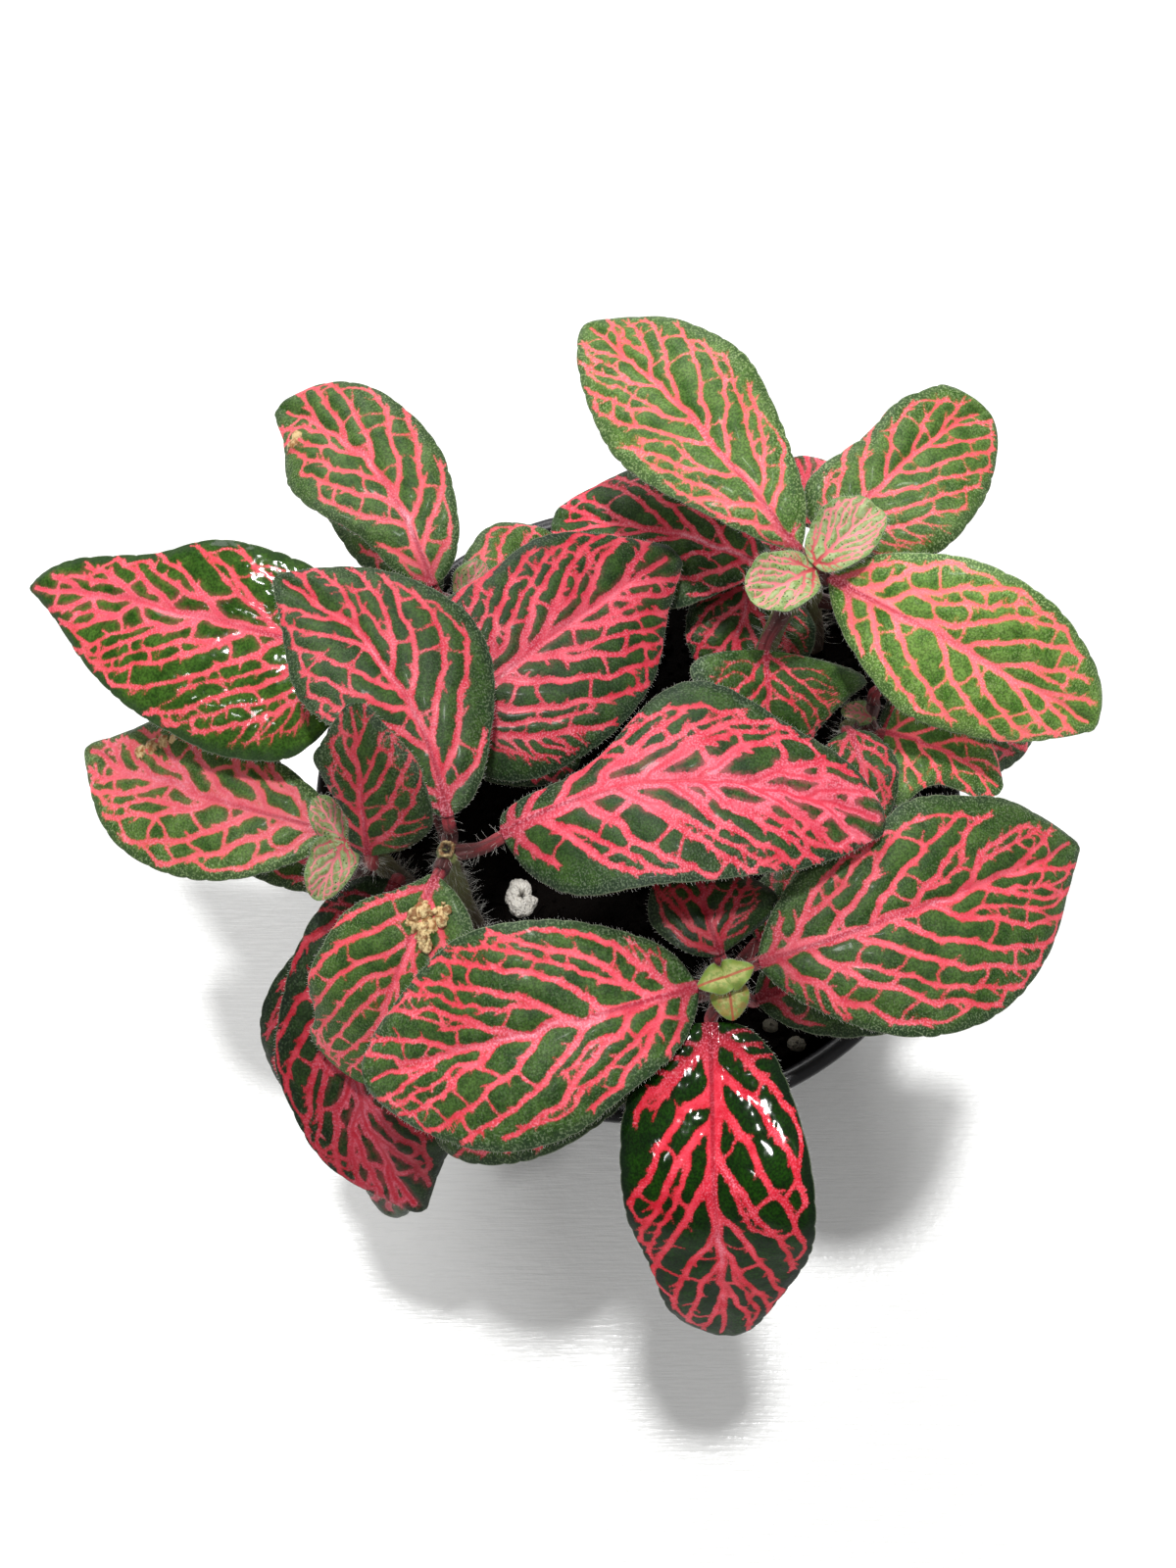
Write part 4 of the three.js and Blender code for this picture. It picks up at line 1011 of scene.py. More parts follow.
    def links(self, path, above, side):
        """Fine veins over to the next side vein. Some stop short."""
        random = self.random
        gone, wait = 0.0, random.uniform(2.4, 5.2)
        for i in range(1, len(path) - 1):
            gone += STRIDE
            if gone < wait:
                continue
            along = unit(path[i + 1] - path[i])
            target = path[i] + along * random.uniform(-1.2, 1.8)
            away = np.hypot(*(above - target).T)
            j = away.argmin()
            span = np.hypot(*(above[j] - path[i]))
            if not 0.9 < span < LONGEST_LINK:
                continue
            room = self.room(path[i], side)
            gone, wait = 0.0, random.uniform(2.2, 5.6) * np.interp(room, [2, 7], [0.8, 1.4])
            bend = (path[i] + above[j]) / 2 + along * random.normal() * 0.24 * span
            link = bezier((path[i], bend, above[j]), max(int(span / STRIDE), 5))
            radius = random.uniform(0.14, 0.25)
            if random.random() < 0.30:
                link = link[::-1] if random.random() < 0.5 else link
                part = max(int(len(link) * random.uniform(0.35, 0.6)), 2)
                self.add(link[:part], radius, 0.08, LINK)
            else:
                self.add(link, radius, radius, LINK)

    def twig(self, start, along, turn, length, radius):
        """A short vein that leaves along by a turn and bends half of it back."""

        def turned(angle):
            cos, sin = math.cos(angle), math.sin(angle)
            return np.array([along[0] * cos + along[1] * sin, along[1] * cos - along[0] * sin])

        bend = start + 0.5 * length * turned(turn)
        end = bend + 0.5 * length * turned(0.5 * turn)
        self.add(bezier((start, bend, end), 5), radius, TWIG_RADIUS["end"], TWIG)

    def antlers(self, path, side, thick):
        """Spurs at the outer end of a side vein and on its outer side."""
        random = self.random
        along = unit(path[-1] - path[-2])
        for turn in (-1, 1):
            reach = random.uniform(0.6, 1.2) * min(self.border, 1.2)
            self.twig(path[-1], along, turn * random.uniform(0.25, 0.6), reach, thick * 0.5)
        gone, wait = 0.0, random.uniform(0.8, 1.6)
        for i in range(len(path) - 2, 4, -1):
            gone += STRIDE
            room = self.room(path[i], side)
            if room > SPUR_ROOM:
                break
            if gone > wait:
                gone, wait = 0.0, random.uniform(1.8, 3.4)
                reach = min((room - 0.8) * random.uniform(0.5, 0.8), 1.8)
                if reach > 0.35:
                    turn = side * random.uniform(0.6, 0.95)
                    self.twig(path[i], unit(path[i + 1] - path[i]), turn, reach, TWIG_RADIUS["spur"])

    def thorns(self, path):
        """Short thorns along a vein."""
        random = self.random
        gone, wait = 0.0, random.uniform(1.5, 3.5)
        for i in range(2, len(path) - 1):
            gone += STRIDE
            if gone > wait:
                gone, wait = 0.0, random.uniform(1.0, 3.4)
                turn = random.choice((-1, 1)) * random.uniform(0.9, 1.5)
                along = unit(path[i + 1] - path[i])
                self.twig(path[i], along, turn, random.uniform(0.7, 1.3), TWIG_RADIUS["thorn"])

    def sway(self):
        """Moves all pieces sideways by the same uneven field, so that no vein is straight."""
        pieces = np.array(self.pieces)
        for wave, reach in ((12.0, 0.30), (5.0, 0.20), (2.2, 0.09)):
            for axis in (0, 1):
                turn = self.random.uniform(0, 2 * np.pi, 4)
                phase = self.random.uniform(0, 2 * np.pi, 4)
                for end in (0, 2):
                    x, y = pieces[:, end], pieces[:, end + 1]
                    along = x[:, None] * np.cos(turn) + y[:, None] * np.sin(turn)
                    waves = np.sin(2 * np.pi * along / wave + phase)
                    pieces[:, end + axis] += reach * waves.sum(1) / 2 * smooth(y, 0, 4)
        self.pieces = pieces

    def draw(self):
        """Grids of the distance to the nearest vein's edge, and to the nearest main vein's middle."""
        blade = self.blade
        self.origin = np.array([-blade.left * 1.1 - 1.5, -1.5])
        size = ((blade.left + blade.right) * 1.1 + 3.2, blade.length + 3)
        columns, rows = (int(extent / CELL) + 1 for extent in size)
        edges, core = np.full((5, rows, columns), FAR), np.full((rows, columns), FAR)
        for ax, ay, bx, by, ra, rb, kind in self.pieces:
            low = ((np.minimum((ax, ay), (bx, by)) - REACH - self.origin) / CELL).astype(int)
            high = ((np.maximum((ax, ay), (bx, by)) + REACH - self.origin) / CELL).astype(int) + 2
            (i0, j0), (i1, j1) = np.maximum(low, 0), np.minimum(high, (columns, rows))
            x = self.origin[0] + CELL * np.arange(i0, i1)[None, :]
            y = self.origin[1] + CELL * np.arange(j0, j1)[:, None]
            dx, dy = bx - ax, by - ay
            t = np.clip(((x - ax) * dx + (y - ay) * dy) / max(dx * dx + dy * dy, 1e-9), 0, 1)
            away = np.hypot(x - ax - t * dx, y - ay - t * dy)
            window = edges[int(kind), j0:j1, i0:i1]
            np.minimum(window, away - (ra + (rb - ra) * t), out=window)
            if kind < LINK:
                window = core[j0:j1, i0:i1]
                np.minimum(window, away, out=window)
        edge = edges[0]
        for other in edges[1:]:
            near = np.maximum(FILLET - abs(edge - other), 0) / FILLET
            edge = np.minimum(edge, other) - near**2 * FILLET / 4
        return edge, soften(core)

    def sample(self, grid, x, y):
        """Values of a drawn grid at points x, y."""
        i = np.clip((x - self.origin[0]) / CELL, 0, grid.shape[1] - 1.001)
        j = np.clip((y - self.origin[1]) / CELL, 0, grid.shape[0] - 1.001)
        a, b = i.astype(int), j.astype(int)
        u, w = i - a, j - b
        low = grid[b, a] * (1 - u) + grid[b, a + 1] * u
        high = grid[b + 1, a] * (1 - u) + grid[b + 1, a + 1] * u
        return low * (1 - w) + high * w


def soften(grid):
    """A light blur."""
    for axis in (0, 1):
        wide = np.pad(grid, [(1, 1) if axis == k else (0, 0) for k in (0, 1)], mode="edge")
        before, after = (np.take(wide, np.arange(grid.shape[axis]) + k, axis) for k in (0, 2))
        grid = 0.25 * before + 0.5 * grid + 0.25 * after
    return grid


# ---- leaves ----
SPACING = 0.23      # of the points of a blade
YOUNG_SPACING = 0.13
THICKNESS = 0.4     # of a blade
STUBS = {"centre": 0.95}     # radius of the dried end of a cut shoot
HAIR = 0.014        # radius at its root
# Length and spacing of the hairs along a margin.
FRINGE = dict(leaf=(0.5, 0.42), young=(0.8, 0.26), sprout=(0.6, 0.26), bract=(0.3, 0.5))
# Number to the square mm, and length of the hairs round a stalk or stem.
COAT = dict(stalk=(1.0, 1.6), stem=(1.4, 2.2))
# Sides of a stalk or stem, and its girth.
ROUND = dict(stalk=(14, 5.6), stem=(24, 8.8))
SPROUT = dict(arch=0.5, full=0.55, thickness=0.5)
SPROUT_LOOK = {**PLAIN, "fresh": 0.9, "width": 0.6, "ribs": 5, "young": 1, "tone": 0.7}
BRACT_LOOK = {**SPROUT_LOOK, "young": 0, "tone": 0.9}
BRACT_YOUNG, BROWN_BRACT_YOUNG = 1.5, 2     # the skin's attribute young of a bract
BROWN_BRACT = 2     # number of the bract in SPROUTS that is brown in part


def stem_of(leaf):
    return leaf.rsplit("_", 1)[0]


def stem_radius(key, number):
    """Radius of a stem at a point of its route, or at a share of the way to the next."""
    radius, route = STEMS[key]
    return radius * (1 + (STEM["tip_scale"] - 1) * number / (len(route) - 1))


def stalk_path(blade, key, number):
    """Points of a leaf's stalk from inside its stem to under its midrib, and the radius at each."""
    node = np.array(STEMS[key][1][number], float)
    point, tangent, _, normal = (value[0] for value in blade.midrib([0.0]))
    foot = point - normal * STALK["sink"]
    outward = unit((foot - node) * (1, 1, 0))
    root = node + outward * (stem_radius(key, number) * STEM["swell"] + STALK["clear"])
    pull = np.linalg.norm(root - foot) / 3
    free = bezier((root, root + outward * pull, foot - tangent * pull, foot), 26)
    inside = node + outward * 0.4
    inner = inside + np.linspace(0, 1, 5)[:-1, None] * (root - node - outward * 0.4)
    s = np.linspace(0, STALK["reach"], 9)[1:]
    point, _, _, normal = blade.midrib(s)
    under = point - normal * STALK["sink"] * np.linspace(1, 0.8, 8)[:, None]
    path = np.concatenate([inner, free, under])
    share = np.linspace(0, 1, len(path))
    taper = np.interp(share, [0, 0.12, 0.3, 0.7, 0.85, 1], [1.25, 1.15, 0.95, 0.9, 0.85, 0.3])
    return path, STALK["radius"] * taper


def crenels(random, run):
    """A line of shallow rounded teeth of uneven size at each place of run."""
    least, most = 1.6, 4.2
    ends = np.cumsum(random.uniform(least, most, int(run[-1] / least) + 3)) - 3
    tooth = np.searchsorted(ends, run)
    start, end = ends[tooth - 1], ends[tooth]
    across = np.clip((run - start) / (end - start), 0, 1)
    height = random.uniform(0.5, 1.5, len(ends))[tooth]
    return height * (np.sqrt(np.maximum(4 * across * (1 - across), 0)) - 0.6)


class Sheet:
    """A blade as a grid of points from base to tip and from margin to margin.

    s runs from 0 at the base to 1 at the tip, and v from -1 to 1 across. x and y are the places on the
    flat blade, half the half width and rim the distance to the margin. edge is the distance to the
    nearest vein's edge, core that to the nearest main vein's middle, and scar is above 0 in a scar."""

    def __init__(self, blade, look, name, spacing=SPACING, simple=False):
        """A simple sheet has no vein but the midrib."""
        random = random_for(name)
        self.blade, self.look, self.simple = blade, look, simple
        self.rows = max(int(blade.length / spacing), 14)
        self.columns = max(int((blade.left + blade.right) / spacing / 2) * 2 + 1, 9)
        t = np.linspace(0, 1, self.rows)
        s = 0.004 + 0.992 * (0.5 * t + 0.25 * (1 - np.cos(np.pi * t)))
        v = np.linspace(-1, 1, self.columns)
        depth = min(0.2, 0.02 * blade.length) * smooth(s, 0, 0.08)
        notches = [crenels(random, blade.length * s) * depth for _ in ("left", "right")]
        points, self.normal, self.half = blade.surface(s, v, notches)
        self.s, self.v, self.x = s[:, None], v, self.half * v
        self.y = np.broadcast_to((s * blade.length)[:, None], self.x.shape)
        self.rim = (1 - abs(v)) * self.half
        self.edge, self.core = self.veins(random)
        flat = np.stack([self.x, self.y, np.zeros_like(self.x)], -1)
        self.flat = flat + random.uniform(-50, 50, 3)
        self.scar = np.zeros_like(self.x)
        for x, y, radius in SCARS.get(name, ()):
            self.scar = np.maximum(self.scar, 1 - np.hypot(self.x - x, self.y - y) / radius)
        self.points = points + self.normal * self.relief()[..., None]

    def veins(self, random):
        """edge and core. Short blades have the veins of a longer blade, made smaller."""
        if self.simple:
            return abs(self.x) - 0.16 * (1 - self.s), abs(self.x)
        length = self.blade.length
        zoom = 2.6 if length < 12 else 1.5 if length < 14 else 1.0
        veins = Veins(self.blade.enlarged(zoom), self.look, random)
        edge, core = (veins.sample(grid, zoom * self.x, zoom * self.y) / zoom for grid in veins.draw())
        near = (1 - smooth(abs(self.x), 1.5, 8.0)) * smooth(self.s, 0.1, 0.4)
        return edge - 0.27 * self.look["flush"] * near, core

    def relief(self):
        """Height of the blade's middle over the smooth surface."""
        look, s, core = self.look, self.s, self.core
        cells = 0.05 * (1 - np.exp(-np.maximum(self.edge, 0) / 0.5)) + 0.36 * (1 - np.exp(-core / 1.8)) - 0.25
        cells *= smooth(self.rim, 0.0, 1.8) * (0.4 if self.simple else 0.30 if look["wet"] else 1.0)
        swell = 0.3 * field(self.flat, 0.11, 2) * smooth(self.rim, -1, 4)
        cup = 0.22 * (1 - np.exp(-core / 0.6)) - 0.1 + 0.25 * self.half * self.v * self.v
        ridge = 0.45 * (1 - smooth(s, 0.12, 0.4)) - 0.2 * smooth(s, 0.3, 0.55)
        ridge = np.exp(-((self.x / 0.75) ** 2)) * ridge * (0.3 if self.simple else 1)
        wrinkles = 0.045 * field(self.flat, 1.0, 2) if look["wet"] else 0.0
        height, where = look["hump"]
        hump = height * np.exp(-(((s - where) / 0.18) ** 2))
        return cells + swell + look["young"] * cup + ridge + 0.5 * smooth(self.scar, 0, 0.5) + wrinkles + hump

    def add_to(self, shells, thickness=THICKNESS, young=0.0):
        """Adds the closed sheet. young adds to that of the look."""
        look, middle = self.look, abs(self.x)
        thick = thickness * (0.4 + 0.6 * smooth(self.rim, 0, 1.2))
        ribs = 0.35 * np.exp(-((self.core / 0.45) ** 2)) * smooth(self.rim, 0, 1.5) * (not self.simple)
        top = self.points + self.normal * (thick / 2)[..., None]
        under = self.points - self.normal * (thick / 2 + ribs)[..., None]
        flush = look["flush"] * (1 - smooth(middle, 1.0, 5.5)) * smooth(self.s, 0.1, 0.4)
        values = dict(
            edge=self.edge, core=self.core, rim=self.rim, middle=middle, along=self.s, scar=self.scar,
            flush=flush, fresh=look["fresh"], young=look["young"] + young, tone=look["tone"],
            deep=look["deep"],
        )
        values = {key: np.stack([np.broadcast_to(value, middle.shape)] * 2) for key, value in values.items()}
        values["under"] = np.repeat([0.0, 1.0], middle.size)
        values["flat"] = np.stack([self.flat] * 2)
        shells.add(np.stack([top, under]), sheet_faces(self.rows, self.columns), **values)

    def margins(self):
        """Points of both margins, with their outward and upward directions."""
        across = self.blade.midrib(self.s[:, 0])[2]
        sides = ((0, -across), (-1, across))
        return [(self.points[3:-1, k], out[3:-1], self.normal[3:-1, k]) for k, out in sides]


def add_fringe(hair, margins, random, length, spacing):
    """Hairs along the margins of a blade."""
    for line, outward, upward in margins:
        run = distances(line)
        at = np.arange(0.3, run[-1], spacing)
        at = at + random.uniform(-0.4, 0.4, len(at)) * spacing

        def place(values):
            return np.stack([np.interp(at, run, values[:, k]) for k in range(3)], -1)

        along = unit(place(np.gradient(line, axis=0)))
        way = unit(place(outward)) + 0.35 * along + random.normal(size=(len(at), 3)) * 0.22
        way += place(upward) * random.uniform(-0.1, 0.5, len(at))[:, None]
        add_hairs(hair, place(line), unit(way), random.uniform(0.4, 1.0, len(at)) * length, random)


def add_hairs(hair, roots, ways, lengths, random):
    """Thin bent spikes: three rings of three points, and the tip."""
    n = len(roots)
    bend = random.normal(size=(n, 3)) * 0.18
    first = unit(np.cross(ways, UP) + 1e-6)
    second = np.cross(ways, first)
    shares = (0.0, 0.4, 0.75)
    rows = []
    for share, size in zip(shares, (1.0, 0.85, 0.55)):
        middle = roots + (ways * share + bend * share * share) * lengths[:, None]
        for k in range(3):
            angle = 2 * math.pi * k / 3
            rows.append(middle + (first * math.cos(angle) + second * math.sin(angle)) * HAIR * size)
    rows.append(roots + (ways + bend) * lengths[:, None])
    points = np.stack(rows, 1)
    start = (np.arange(n) * 10)[:, None, None]
    ends = np.array([[6, 7, 9], [7, 8, 9], [8, 6, 9], [2, 1, 0]])
    faces = [(group + start).reshape(-1, group.shape[1]) for group in (grid_faces(3, 3, closed=True), ends)]
    tip = np.broadcast_to(np.repeat([*shares, 1], [3, 3, 3, 1]), (n, 10))
    hair.add(points, faces, tip=tip)


def add_coat(hair, surface, out, random, density, length):
    """Hairs over a tube's surface, density to the square mm."""
    rows, sides = out.shape[:2]
    run = distances(surface.mean(1))
    girth = 2 * np.pi * np.linalg.norm(surface - surface.mean(1, keepdims=True), axis=2).mean()
    count = int(run[-1] * girth * density)
    row = np.interp(random.random(count), run / run[-1], np.arange(rows))
    i = np.minimum(row.astype(int), rows - 2)
    j = random.integers(0, sides, count)
    share, slide = (row - i)[:, None], random.random((count, 1))
    k = (j + 1) % sides

    def mixed(grid):
        low = grid[i, j] * (1 - slide) + grid[i, k] * slide
        high = grid[i + 1, j] * (1 - slide) + grid[i + 1, k] * slide
        return low * (1 - share) + high * share

    way = unit(mixed(out) + random.normal(size=(count, 3)) * 0.25)
    add_hairs(hair, mixed(surface), way, random.uniform(0.5, 1.0, count) * length, random)


def add_tube(shells, kind, path, radii, shape, tips, random):
    """Adds a stalk or stem. Returns the points of its surface and their outward directions.

    tips is the skin's attribute tip at each point of path."""
    sides, girth = ROUND[kind]
    surface, out = tube(path, radii, sides, shape)
    grid = surface.shape[:2]
    angle = np.broadcast_to(np.arange(sides) / sides * girth, grid)
    run = np.broadcast_to(distances(path)[:, None], grid)
    flat = np.stack([angle, run, np.full(grid, random.uniform(0, 90))], -1)
    tip = np.broadcast_to(tips[:, None], grid)
    shells.add(surface, tube_faces(len(path), sides), 1, flat=flat, tip=tip)
    return surface, out


def add_crusts(shells, blade, scars, random):
    """Lumps of dried tissue on a blade's scars."""
    form = ball(3)
    for scar_x, scar_y, size in scars:
        for _ in range(7):
            turn, away = random.uniform(0, 2 * math.pi), size * random.uniform(0.1, 1.0)
            x, y = scar_x + away * math.cos(turn), scar_y + away * math.sin(turn)
            half = blade.halves(y)[int(x > 0)]
            points, _, _ = blade.surface(np.array([y / blade.length]), np.array([x / half]), (0, 0))
            lump(shells, form, points[0, 0] + (0, 0, 0.45), random.uniform(0.5, 1.5), random, 2, 0.55)


def make_leaf(key, hair):
    number, *shape = LEAVES[key]
    look = {**PLAIN, **LOOKS.get(key, {})}
    blade = Blade(*shape, TRIMS.get(key))
    random = random_for(key + " stalk")
    shells = Shells()
    young = look["young"]
    sheet = Sheet(blade, look, key, YOUNG_SPACING if young else SPACING)
    sheet.add_to(shells)
    path, radii = stalk_path(blade, stem_of(key), number)

    def angular(share, angle):
        return 1 + 0.05 * np.cos(3 * angle + 4 * share) + 0.03 * np.cos(5 * angle - 9 * share)

    surface, out = add_tube(shells, "stalk", path, radii, angular, np.linspace(0, 1, len(path)), random)
    if key in CRUSTED:
        add_crusts(shells, blade, SCARS[key], random)
    materials = [SKIN["wet" if look["wet"] else "dull"], SKIN["stalk"], SKIN["crust"]]
    shells.piece("foliage_" + key, materials, "young_leaf" if young else "leaf", "leaf_" + key)
    add_fringe(hair, sheet.margins(), random, *FRINGE["young" if young else "leaf"])
    free = slice(4, -6)
    add_coat(hair, surface[free], out[free], random, *COAT["stalk"])


def stem_path(key):
    """Points along a stem with its rounded tip, and the radius at each."""
    route = STEMS[key][1]
    per_span = 12
    path = catmull_rom(route, per_span * (len(route) - 1))
    number = np.arange(len(path)) / per_span
    radii = stem_radius(key, number)
    for node in range(2, len(route)):
        radii *= 1 + (STEM["swell"] - 1) * np.exp(-(((number - node) / 0.16) ** 2))
    dome = np.linspace(0, 0.97, 5)[1:]
    tangent = unit(path[-1] - path[-2])
    path = np.vstack([path, path[-1] + tangent * dome[:, None] * radii[-1] * 0.9])
    return path, np.concatenate([radii, radii[-1] * np.sqrt(1 - dome**2)])


def make_shoot(key, hair):
    """A stem with the bracts and young leaves at its tip."""
    random = random_for(key + " shoot")
    shells = Shells()
    path, radii = stem_path(key)
    run = distances(path)

    def ridged(share, angle):
        return 1 + 0.06 * np.cos(4 * angle + 3 * share) + 0.03 * np.cos(9 * angle + 20 * share)

    tips = np.clip((run - 10) / (run[-1] - 10), 0, 1)
    surface, out = add_tube(shells, "stem", path, radii, ridged, tips, random)
    add_coat(hair, surface[12:], out[12:], random, *COAT["stem"])
    for number, (stem, base, tip, half, widest, kind) in enumerate(SPROUTS):
        if stem != key:
            continue
        blade = Blade(base, tip, SPROUT["arch"], 0, half, half, widest, SPROUT["full"], 0)
        name = f"{key} {number}"
        if kind == "bract":
            sheet = Sheet(blade, BRACT_LOOK, name, YOUNG_SPACING, simple=True)
            young = BROWN_BRACT_YOUNG if number == BROWN_BRACT else BRACT_YOUNG
            sheet.add_to(shells, SPROUT["thickness"], young)
        else:
            sheet = Sheet(blade, SPROUT_LOOK, name, YOUNG_SPACING)
            sheet.add_to(shells, SPROUT["thickness"])
        add_fringe(hair, sheet.margins(), random, *FRINGE["bract" if kind == "bract" else "sprout"])
    if key in STUBS:
        add_stub(shells, path[-1], STUBS[key])
    shells.piece("shoot_" + key, [SKIN["dull"], SKIN["stem"], SKIN["crust"]], "stem", "stem_" + key)


def add_stub(shells, place, radius):
    """The dried end of a cut shoot: a short ragged ring round a dark hole."""
    ring = circle(40)
    # share of the radius, height, and how dark it is, from the foot over the top into the hole. The dark is
    # painted shade, deepest in the hole and least on the top.
    outline = [
        (0.85, -0.9, 0.6), (1.0, -0.3, 0.5), (1.1, 0.35, 0.3), (0.98, 0.7, 0.15), (0.72, 0.6, 0.55),
        (0.5, 0.25, 0.97), (0.3, 0.08, 1),
    ]
    rows = []
    for share, height, _ in outline:
        ragged = 1 + 0.26 * field(at_height(ring, height), 1.7, 3)
        lift = height + (height > 0) * 0.5 * field(at_height(ring, 5.0), 2.3, 2)
        rows.append(place + np.c_[radius * share * ragged[:, None] * ring, lift])
    pit = np.repeat([dark for _, _, dark in outline], len(ring))
    shells.add(np.array(rows), tube_faces(len(outline), len(ring)), 2, pit=pit)


# ---- pot, soil and perlite ----
def inner_radius(z):
    """Of the pot's wall at height z, below the collar."""
    return POT["base"] + (POT["shoulder"] - POT["base"]) * (z / LEDGE) - POT["wall"]


def pot_outline():
    """Radius and height along the pot's outline, from the middle of the underside up the outer side, over
    the rim and down the inner side to the middle of the floor."""
    base, shoulder, rim, mouth = POT["base"], POT["shoulder"], POT["rim"], POT["mouth"]
    height, wall, floor = POT["height"], POT["wall"], POT["floor"]
    turns = np.radians(np.arange(-20, 221, 20))
    roll = np.c_[(rim + mouth) / 2 + (rim - mouth) / 2 * np.cos(turns), height - 0.9 + 0.9 * np.sin(turns)]
    return np.vstack([
        [[0, 0.8], [24, 0.8], [26, 0.5], [27, 0], [base - 1, 0], [base - 0.3, 0.3], [base, 1]],
        [[base + (shoulder - base) * t, 1 + (LEDGE - 1) * t] for t in np.linspace(0.1, 1, 10)],
        [[shoulder + 0.5, LEDGE], [rim - wall - 0.2, LEDGE], [rim - wall, LEDGE + 0.3]],
        [[rim - wall + 0.5, LEDGE + 4], [rim - 0.5, height - 2.4]],
        roll,
        [[mouth - 0.1, LEDGE + 5], [mouth - 0.2, LEDGE + wall], [inner_radius(LEDGE) + 0.1, LEDGE]],
        [[inner_radius(z), z] for z in np.linspace(LEDGE - wall, floor + 0.6, 9)],
        [[inner_radius(floor) - 0.6, floor], [0, floor]],
    ])


def make_drill(number):
    """The cylinder that cuts a drain hole."""
    turn = 2 * math.pi * (number + 0.5) / DRAIN["count"]
    middle = DRAIN["circle"] * np.array([math.cos(turn), math.sin(turn)])
    ring = middle + DRAIN["radius"] * circle(32)
    points = np.vstack([at_height(ring, z) for z in (-2, 4)])
    return make_mesh("drill", points, tube_faces(2, len(ring)), [])


def make_pot():
    outline = pot_outline()
    ring = circle(192)
    sides, rows = len(ring), len(outline) - 2
    walls = [at_height(ring * radius, z) for radius, z in outline[1:-1]]
    wheel = np.arange(sides)
    turned, last = np.roll(wheel, -1), (rows - 1) * sides
    underside = np.stack([np.full(sides, rows * sides), turned, wheel], -1)
    floor = np.stack([np.full(sides, rows * sides + 1), wheel + last, turned + last], -1)
    points = np.vstack([*walls, (0, 0, outline[0, 1]), (0, 0, outline[-1, 1])])
    shells = Shells()
    shells.add(points, [grid_faces(rows, sides, closed=True), np.concatenate([underside, floor])])
    pot = shells.piece("nursery_pot", [SKIN["pot"]], "pot_plastic", "pot")
    drills = [make_drill(number) for number in range(DRAIN["count"])]
    for drill in drills:
        cut = pot.modifiers.new("hole", "BOOLEAN")
        cut.operation, cut.object, cut.solver = "DIFFERENCE", drill, "EXACT"
    bpy.context.view_layer.update()
    solid = bpy.data.meshes.new_from_object(pot.evaluated_get(bpy.context.evaluated_depsgraph_get()))
    pot.modifiers.clear()
    pot.data = solid
    for drill in drills:
        bpy.data.objects.remove(drill)


CRUMBS = 1500
FIBRES = 90


def scattered(random, edge):
    """A random place on the soil, less than edge from its middle."""
    away, turn = edge * math.sqrt(random.random()), random.uniform(0, 2 * math.pi)
    return away * math.cos(turn), away * math.sin(turn)


def soil_body(edge):
    """Rings of points from the middle of the pot's floor up to the rough surface, and their number of
    sides. edge is the surface's radius."""
    ring = circle(300)
    flat = (np.linspace(edge, 0.4, 84)[:, None, None] * ring).reshape(-1, 2)
    broad = 0.35 * field(at_height(flat, 0.0), 0.16, 2)
    rough = 0.3 * field(at_height(flat, 9.0), 0.9, 3)
    surface = np.c_[flat, SOIL_TOP - 0.2 + broad + rough]
    floor, top = POT["floor"] + GAP, LEDGE - 2 * POT["wall"]
    corners = [(0.4, floor), (inner_radius(floor) - GAP, floor), (inner_radius(top) - GAP, top)]
    low = [at_height(ring * radius, z) for radius, z in corners]
    return np.vstack([*low, surface]), len(ring)


def add_fibre(shells, random, edge):
    start = np.array([*scattered(random, edge * 0.95), SOIL_TOP + 0.2])
    steps = random.normal(size=(6, 3)) * (0.9, 0.9, 0.18) + np.append(random.normal(size=2), 0) * 0.8
    path = bezier(start + np.cumsum(steps, axis=0), 12)
    path[:, :2] *= np.minimum(1, (edge - 1) / np.hypot(*path[:, :2].T))[:, None]
    surface, _ = tube(path, np.full(len(path), random.uniform(0.06, 0.18)), 6)
    shells.add(surface, tube_faces(len(path), 6))


def make_soil():
    random = random_for("soil")
    edge = inner_radius(SOIL_TOP - POT["collar"]) - GAP
    points, sides = soil_body(edge)
    shells = Shells()
    shells.add(points, tube_faces(len(points) // sides, sides))
    form = ball(2)
    for _ in range(CRUMBS):
        x, y = scattered(random, edge * 0.99)
        size = 0.4 + 1.6 * random.random() ** 3
        lump(shells, form, (x, y, SOIL_TOP + 0.1 * size), size, random)
    for _ in range(FIBRES):
        add_fibre(shells, random, edge)
    shells.piece("potting_soil", [SKIN["soil"]], "peat_soil", "soil")


STAINS = {2: 0.5, 3: 0.92, 4: 0.88}     # share of peat on some grains
FORM_SIZE = 1.75    # across a grain before it is scaled
# Lobes of that form: middle and radius.
LOBES = [((-0.22, 0.05, 0), 0.78), ((0.30, -0.08, -0.05), 0.68), ((0.02, 0.3, 0.05), 0.55)]
LARGE_LOBES = [
    ((-0.10, 0.42, 0), 0.62), ((0.02, -0.42, 0), 0.66), ((-0.22, 0, -0.1), 0.62), ((0.52, -0.16, -0.2), 0.34),
]
BLEND = 14          # how sharp the creases between lobes are
PIT = dict(middle=(0.02, 0.05), radius=0.16)
LARGE_PIT = dict(middle=(0.13, 0.12), radius=0.42)


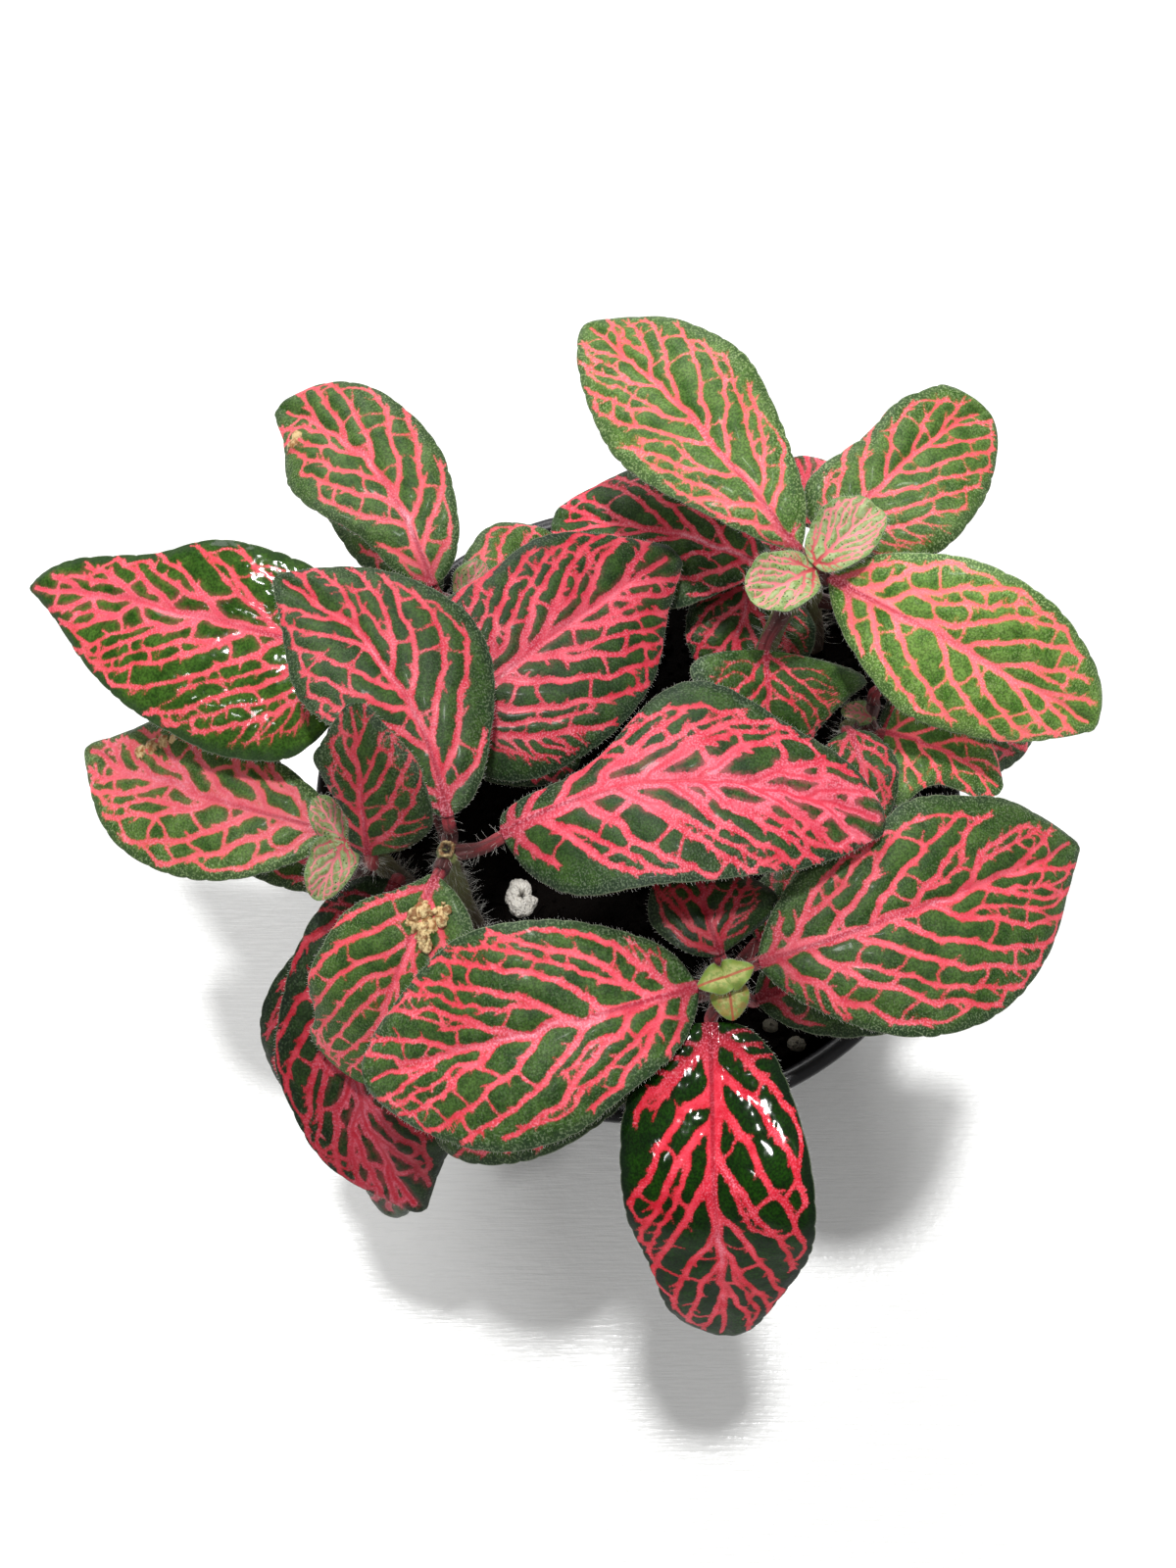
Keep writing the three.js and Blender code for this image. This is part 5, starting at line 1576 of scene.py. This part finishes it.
def make_grain(number, x, y, size):
    """A perlite grain: lobes with cracks and a pit on top. The first is the large one, with a spike."""
    random = random_for(f"grain {number}")
    large = number == 1
    points, faces = ball(6 if large else 5)
    exits = []
    for middle, radius in LARGE_LOBES if large else LOBES:
        middle = np.array(middle)
        dot = points @ middle
        exits.append(dot + np.sqrt(np.maximum(dot**2 - middle @ middle + radius**2, 0)))
    form = np.log(np.exp(BLEND * np.array(exits)).sum(0)) / BLEND
    form += 0.10 * field(points + number, 2.2, 3) + 0.03 * field(points + number, 9.0, 2)
    cracks = np.exp(-((field(points + 5 * number, 1.6, 2) / 0.045) ** 2))
    form -= 0.06 * cracks
    hole = LARGE_PIT if large else PIT
    across = points[:, :2] - hole["middle"]
    turn = np.arctan2(across[:, 1], across[:, 0])
    star = np.hypot(*across.T) / (hole["radius"] + 0.12 * np.cos(5 * turn + number))
    pit = (1 - smooth(star, 0.7, 1.05)) * (points[:, 2] > 0)
    form -= 0.5 * pit
    shells = Shells()
    place = np.array([x, y, SOIL_TOP + GRAIN_LIFT * size])
    points = points * form[:, None] * size / FORM_SIZE + place
    # darkness of the colour: painted shade in the pit, and more or less of it in the cracks
    pit = np.clip(pit + 0.5 * cracks * random.random(), 0, 1)
    shells.add(points, faces, pit=pit, dirt=STAINS.get(number, 0.0))
    shells.piece(f"grain_{number}", [SKIN["perlite"]], "perlite", f"perlite_{number}")


# ---- build ----
make_pot()
make_soil()
for number, grain in enumerate(GRAINS, 1):
    make_grain(number, *grain)
for stem in STEMS:
    hair = Shells()
    make_shoot(stem, hair)
    for leaf in LEAVES:
        if stem_of(leaf) == stem:
            make_leaf(leaf, hair)
    hair.piece("hairs_" + stem, [SKIN["hair"]], "stem")

# ---- floor, light and camera ----
TABLE = 3000        # half its side
WORLD_LIGHT = 0.45
# Round lamps: place and size in metres, and power in watts. They point at TARGET.
LAMPS = {
    "key": ((-0.10, 0.72, 4.0), 0.36, 121.0),
    "fill": ((-0.35, 1.15, 0.9), 0.7, 12.5),
    "spark": ((-0.38, -0.33, 1.40), 0.085, 2.1),
}
TARGET = Vector((0, 0, 0.08))
# Camera: place in metres, tilt in degrees from straight down, focal length and half the picture's height
# in pixels of the photograph.
CAMERA = dict(place=(-0.007, -0.07958, 0.32308), tilt=18, focal_length=1931, half_height=800)


def place_object(name, data, place, turn):
    thing = bpy.data.objects.new(name, data)
    thing.location, thing.rotation_euler = place, turn
    bpy.context.scene.collection.objects.link(thing)
    return thing


def add_lamp(name, place, size, power):
    light = bpy.data.lights.new(name, "AREA")
    light.shape, light.size, light.energy = "DISK", size, power
    turn = (TARGET - Vector(place)).to_track_quat("-Z", "Y").to_euler()
    place_object(name, light, place, turn)


def add_camera():
    camera = bpy.data.cameras.new("camera")
    camera.sensor_fit = "VERTICAL"
    camera.angle = 2 * math.atan(CAMERA["half_height"] / CAMERA["focal_length"])
    turn = (math.radians(CAMERA["tilt"]), 0, 0)
    bpy.context.scene.camera = place_object("camera", camera, CAMERA["place"], turn)


def add_world():
    world = bpy.data.worlds.new("studio")
    world.use_nodes = True
    background = world.node_tree.nodes["Background"]
    background.inputs["Color"].default_value = (1, 1, 1, 1)
    background.inputs["Strength"].default_value = WORLD_LIGHT
    bpy.context.scene.world = world


corners = [(-TABLE, -TABLE, 0), (TABLE, -TABLE, 0), (TABLE, TABLE, 0), (-TABLE, TABLE, 0)]
floor = make_mesh("table", corners, [[[0, 1, 2, 3]]], [SKIN["floor"]])
add_world()
for name, (place, size, power) in LAMPS.items():
    add_lamp(name, place, size, power)
add_camera()
bpy.context.scene.view_settings.view_transform = "Standard"
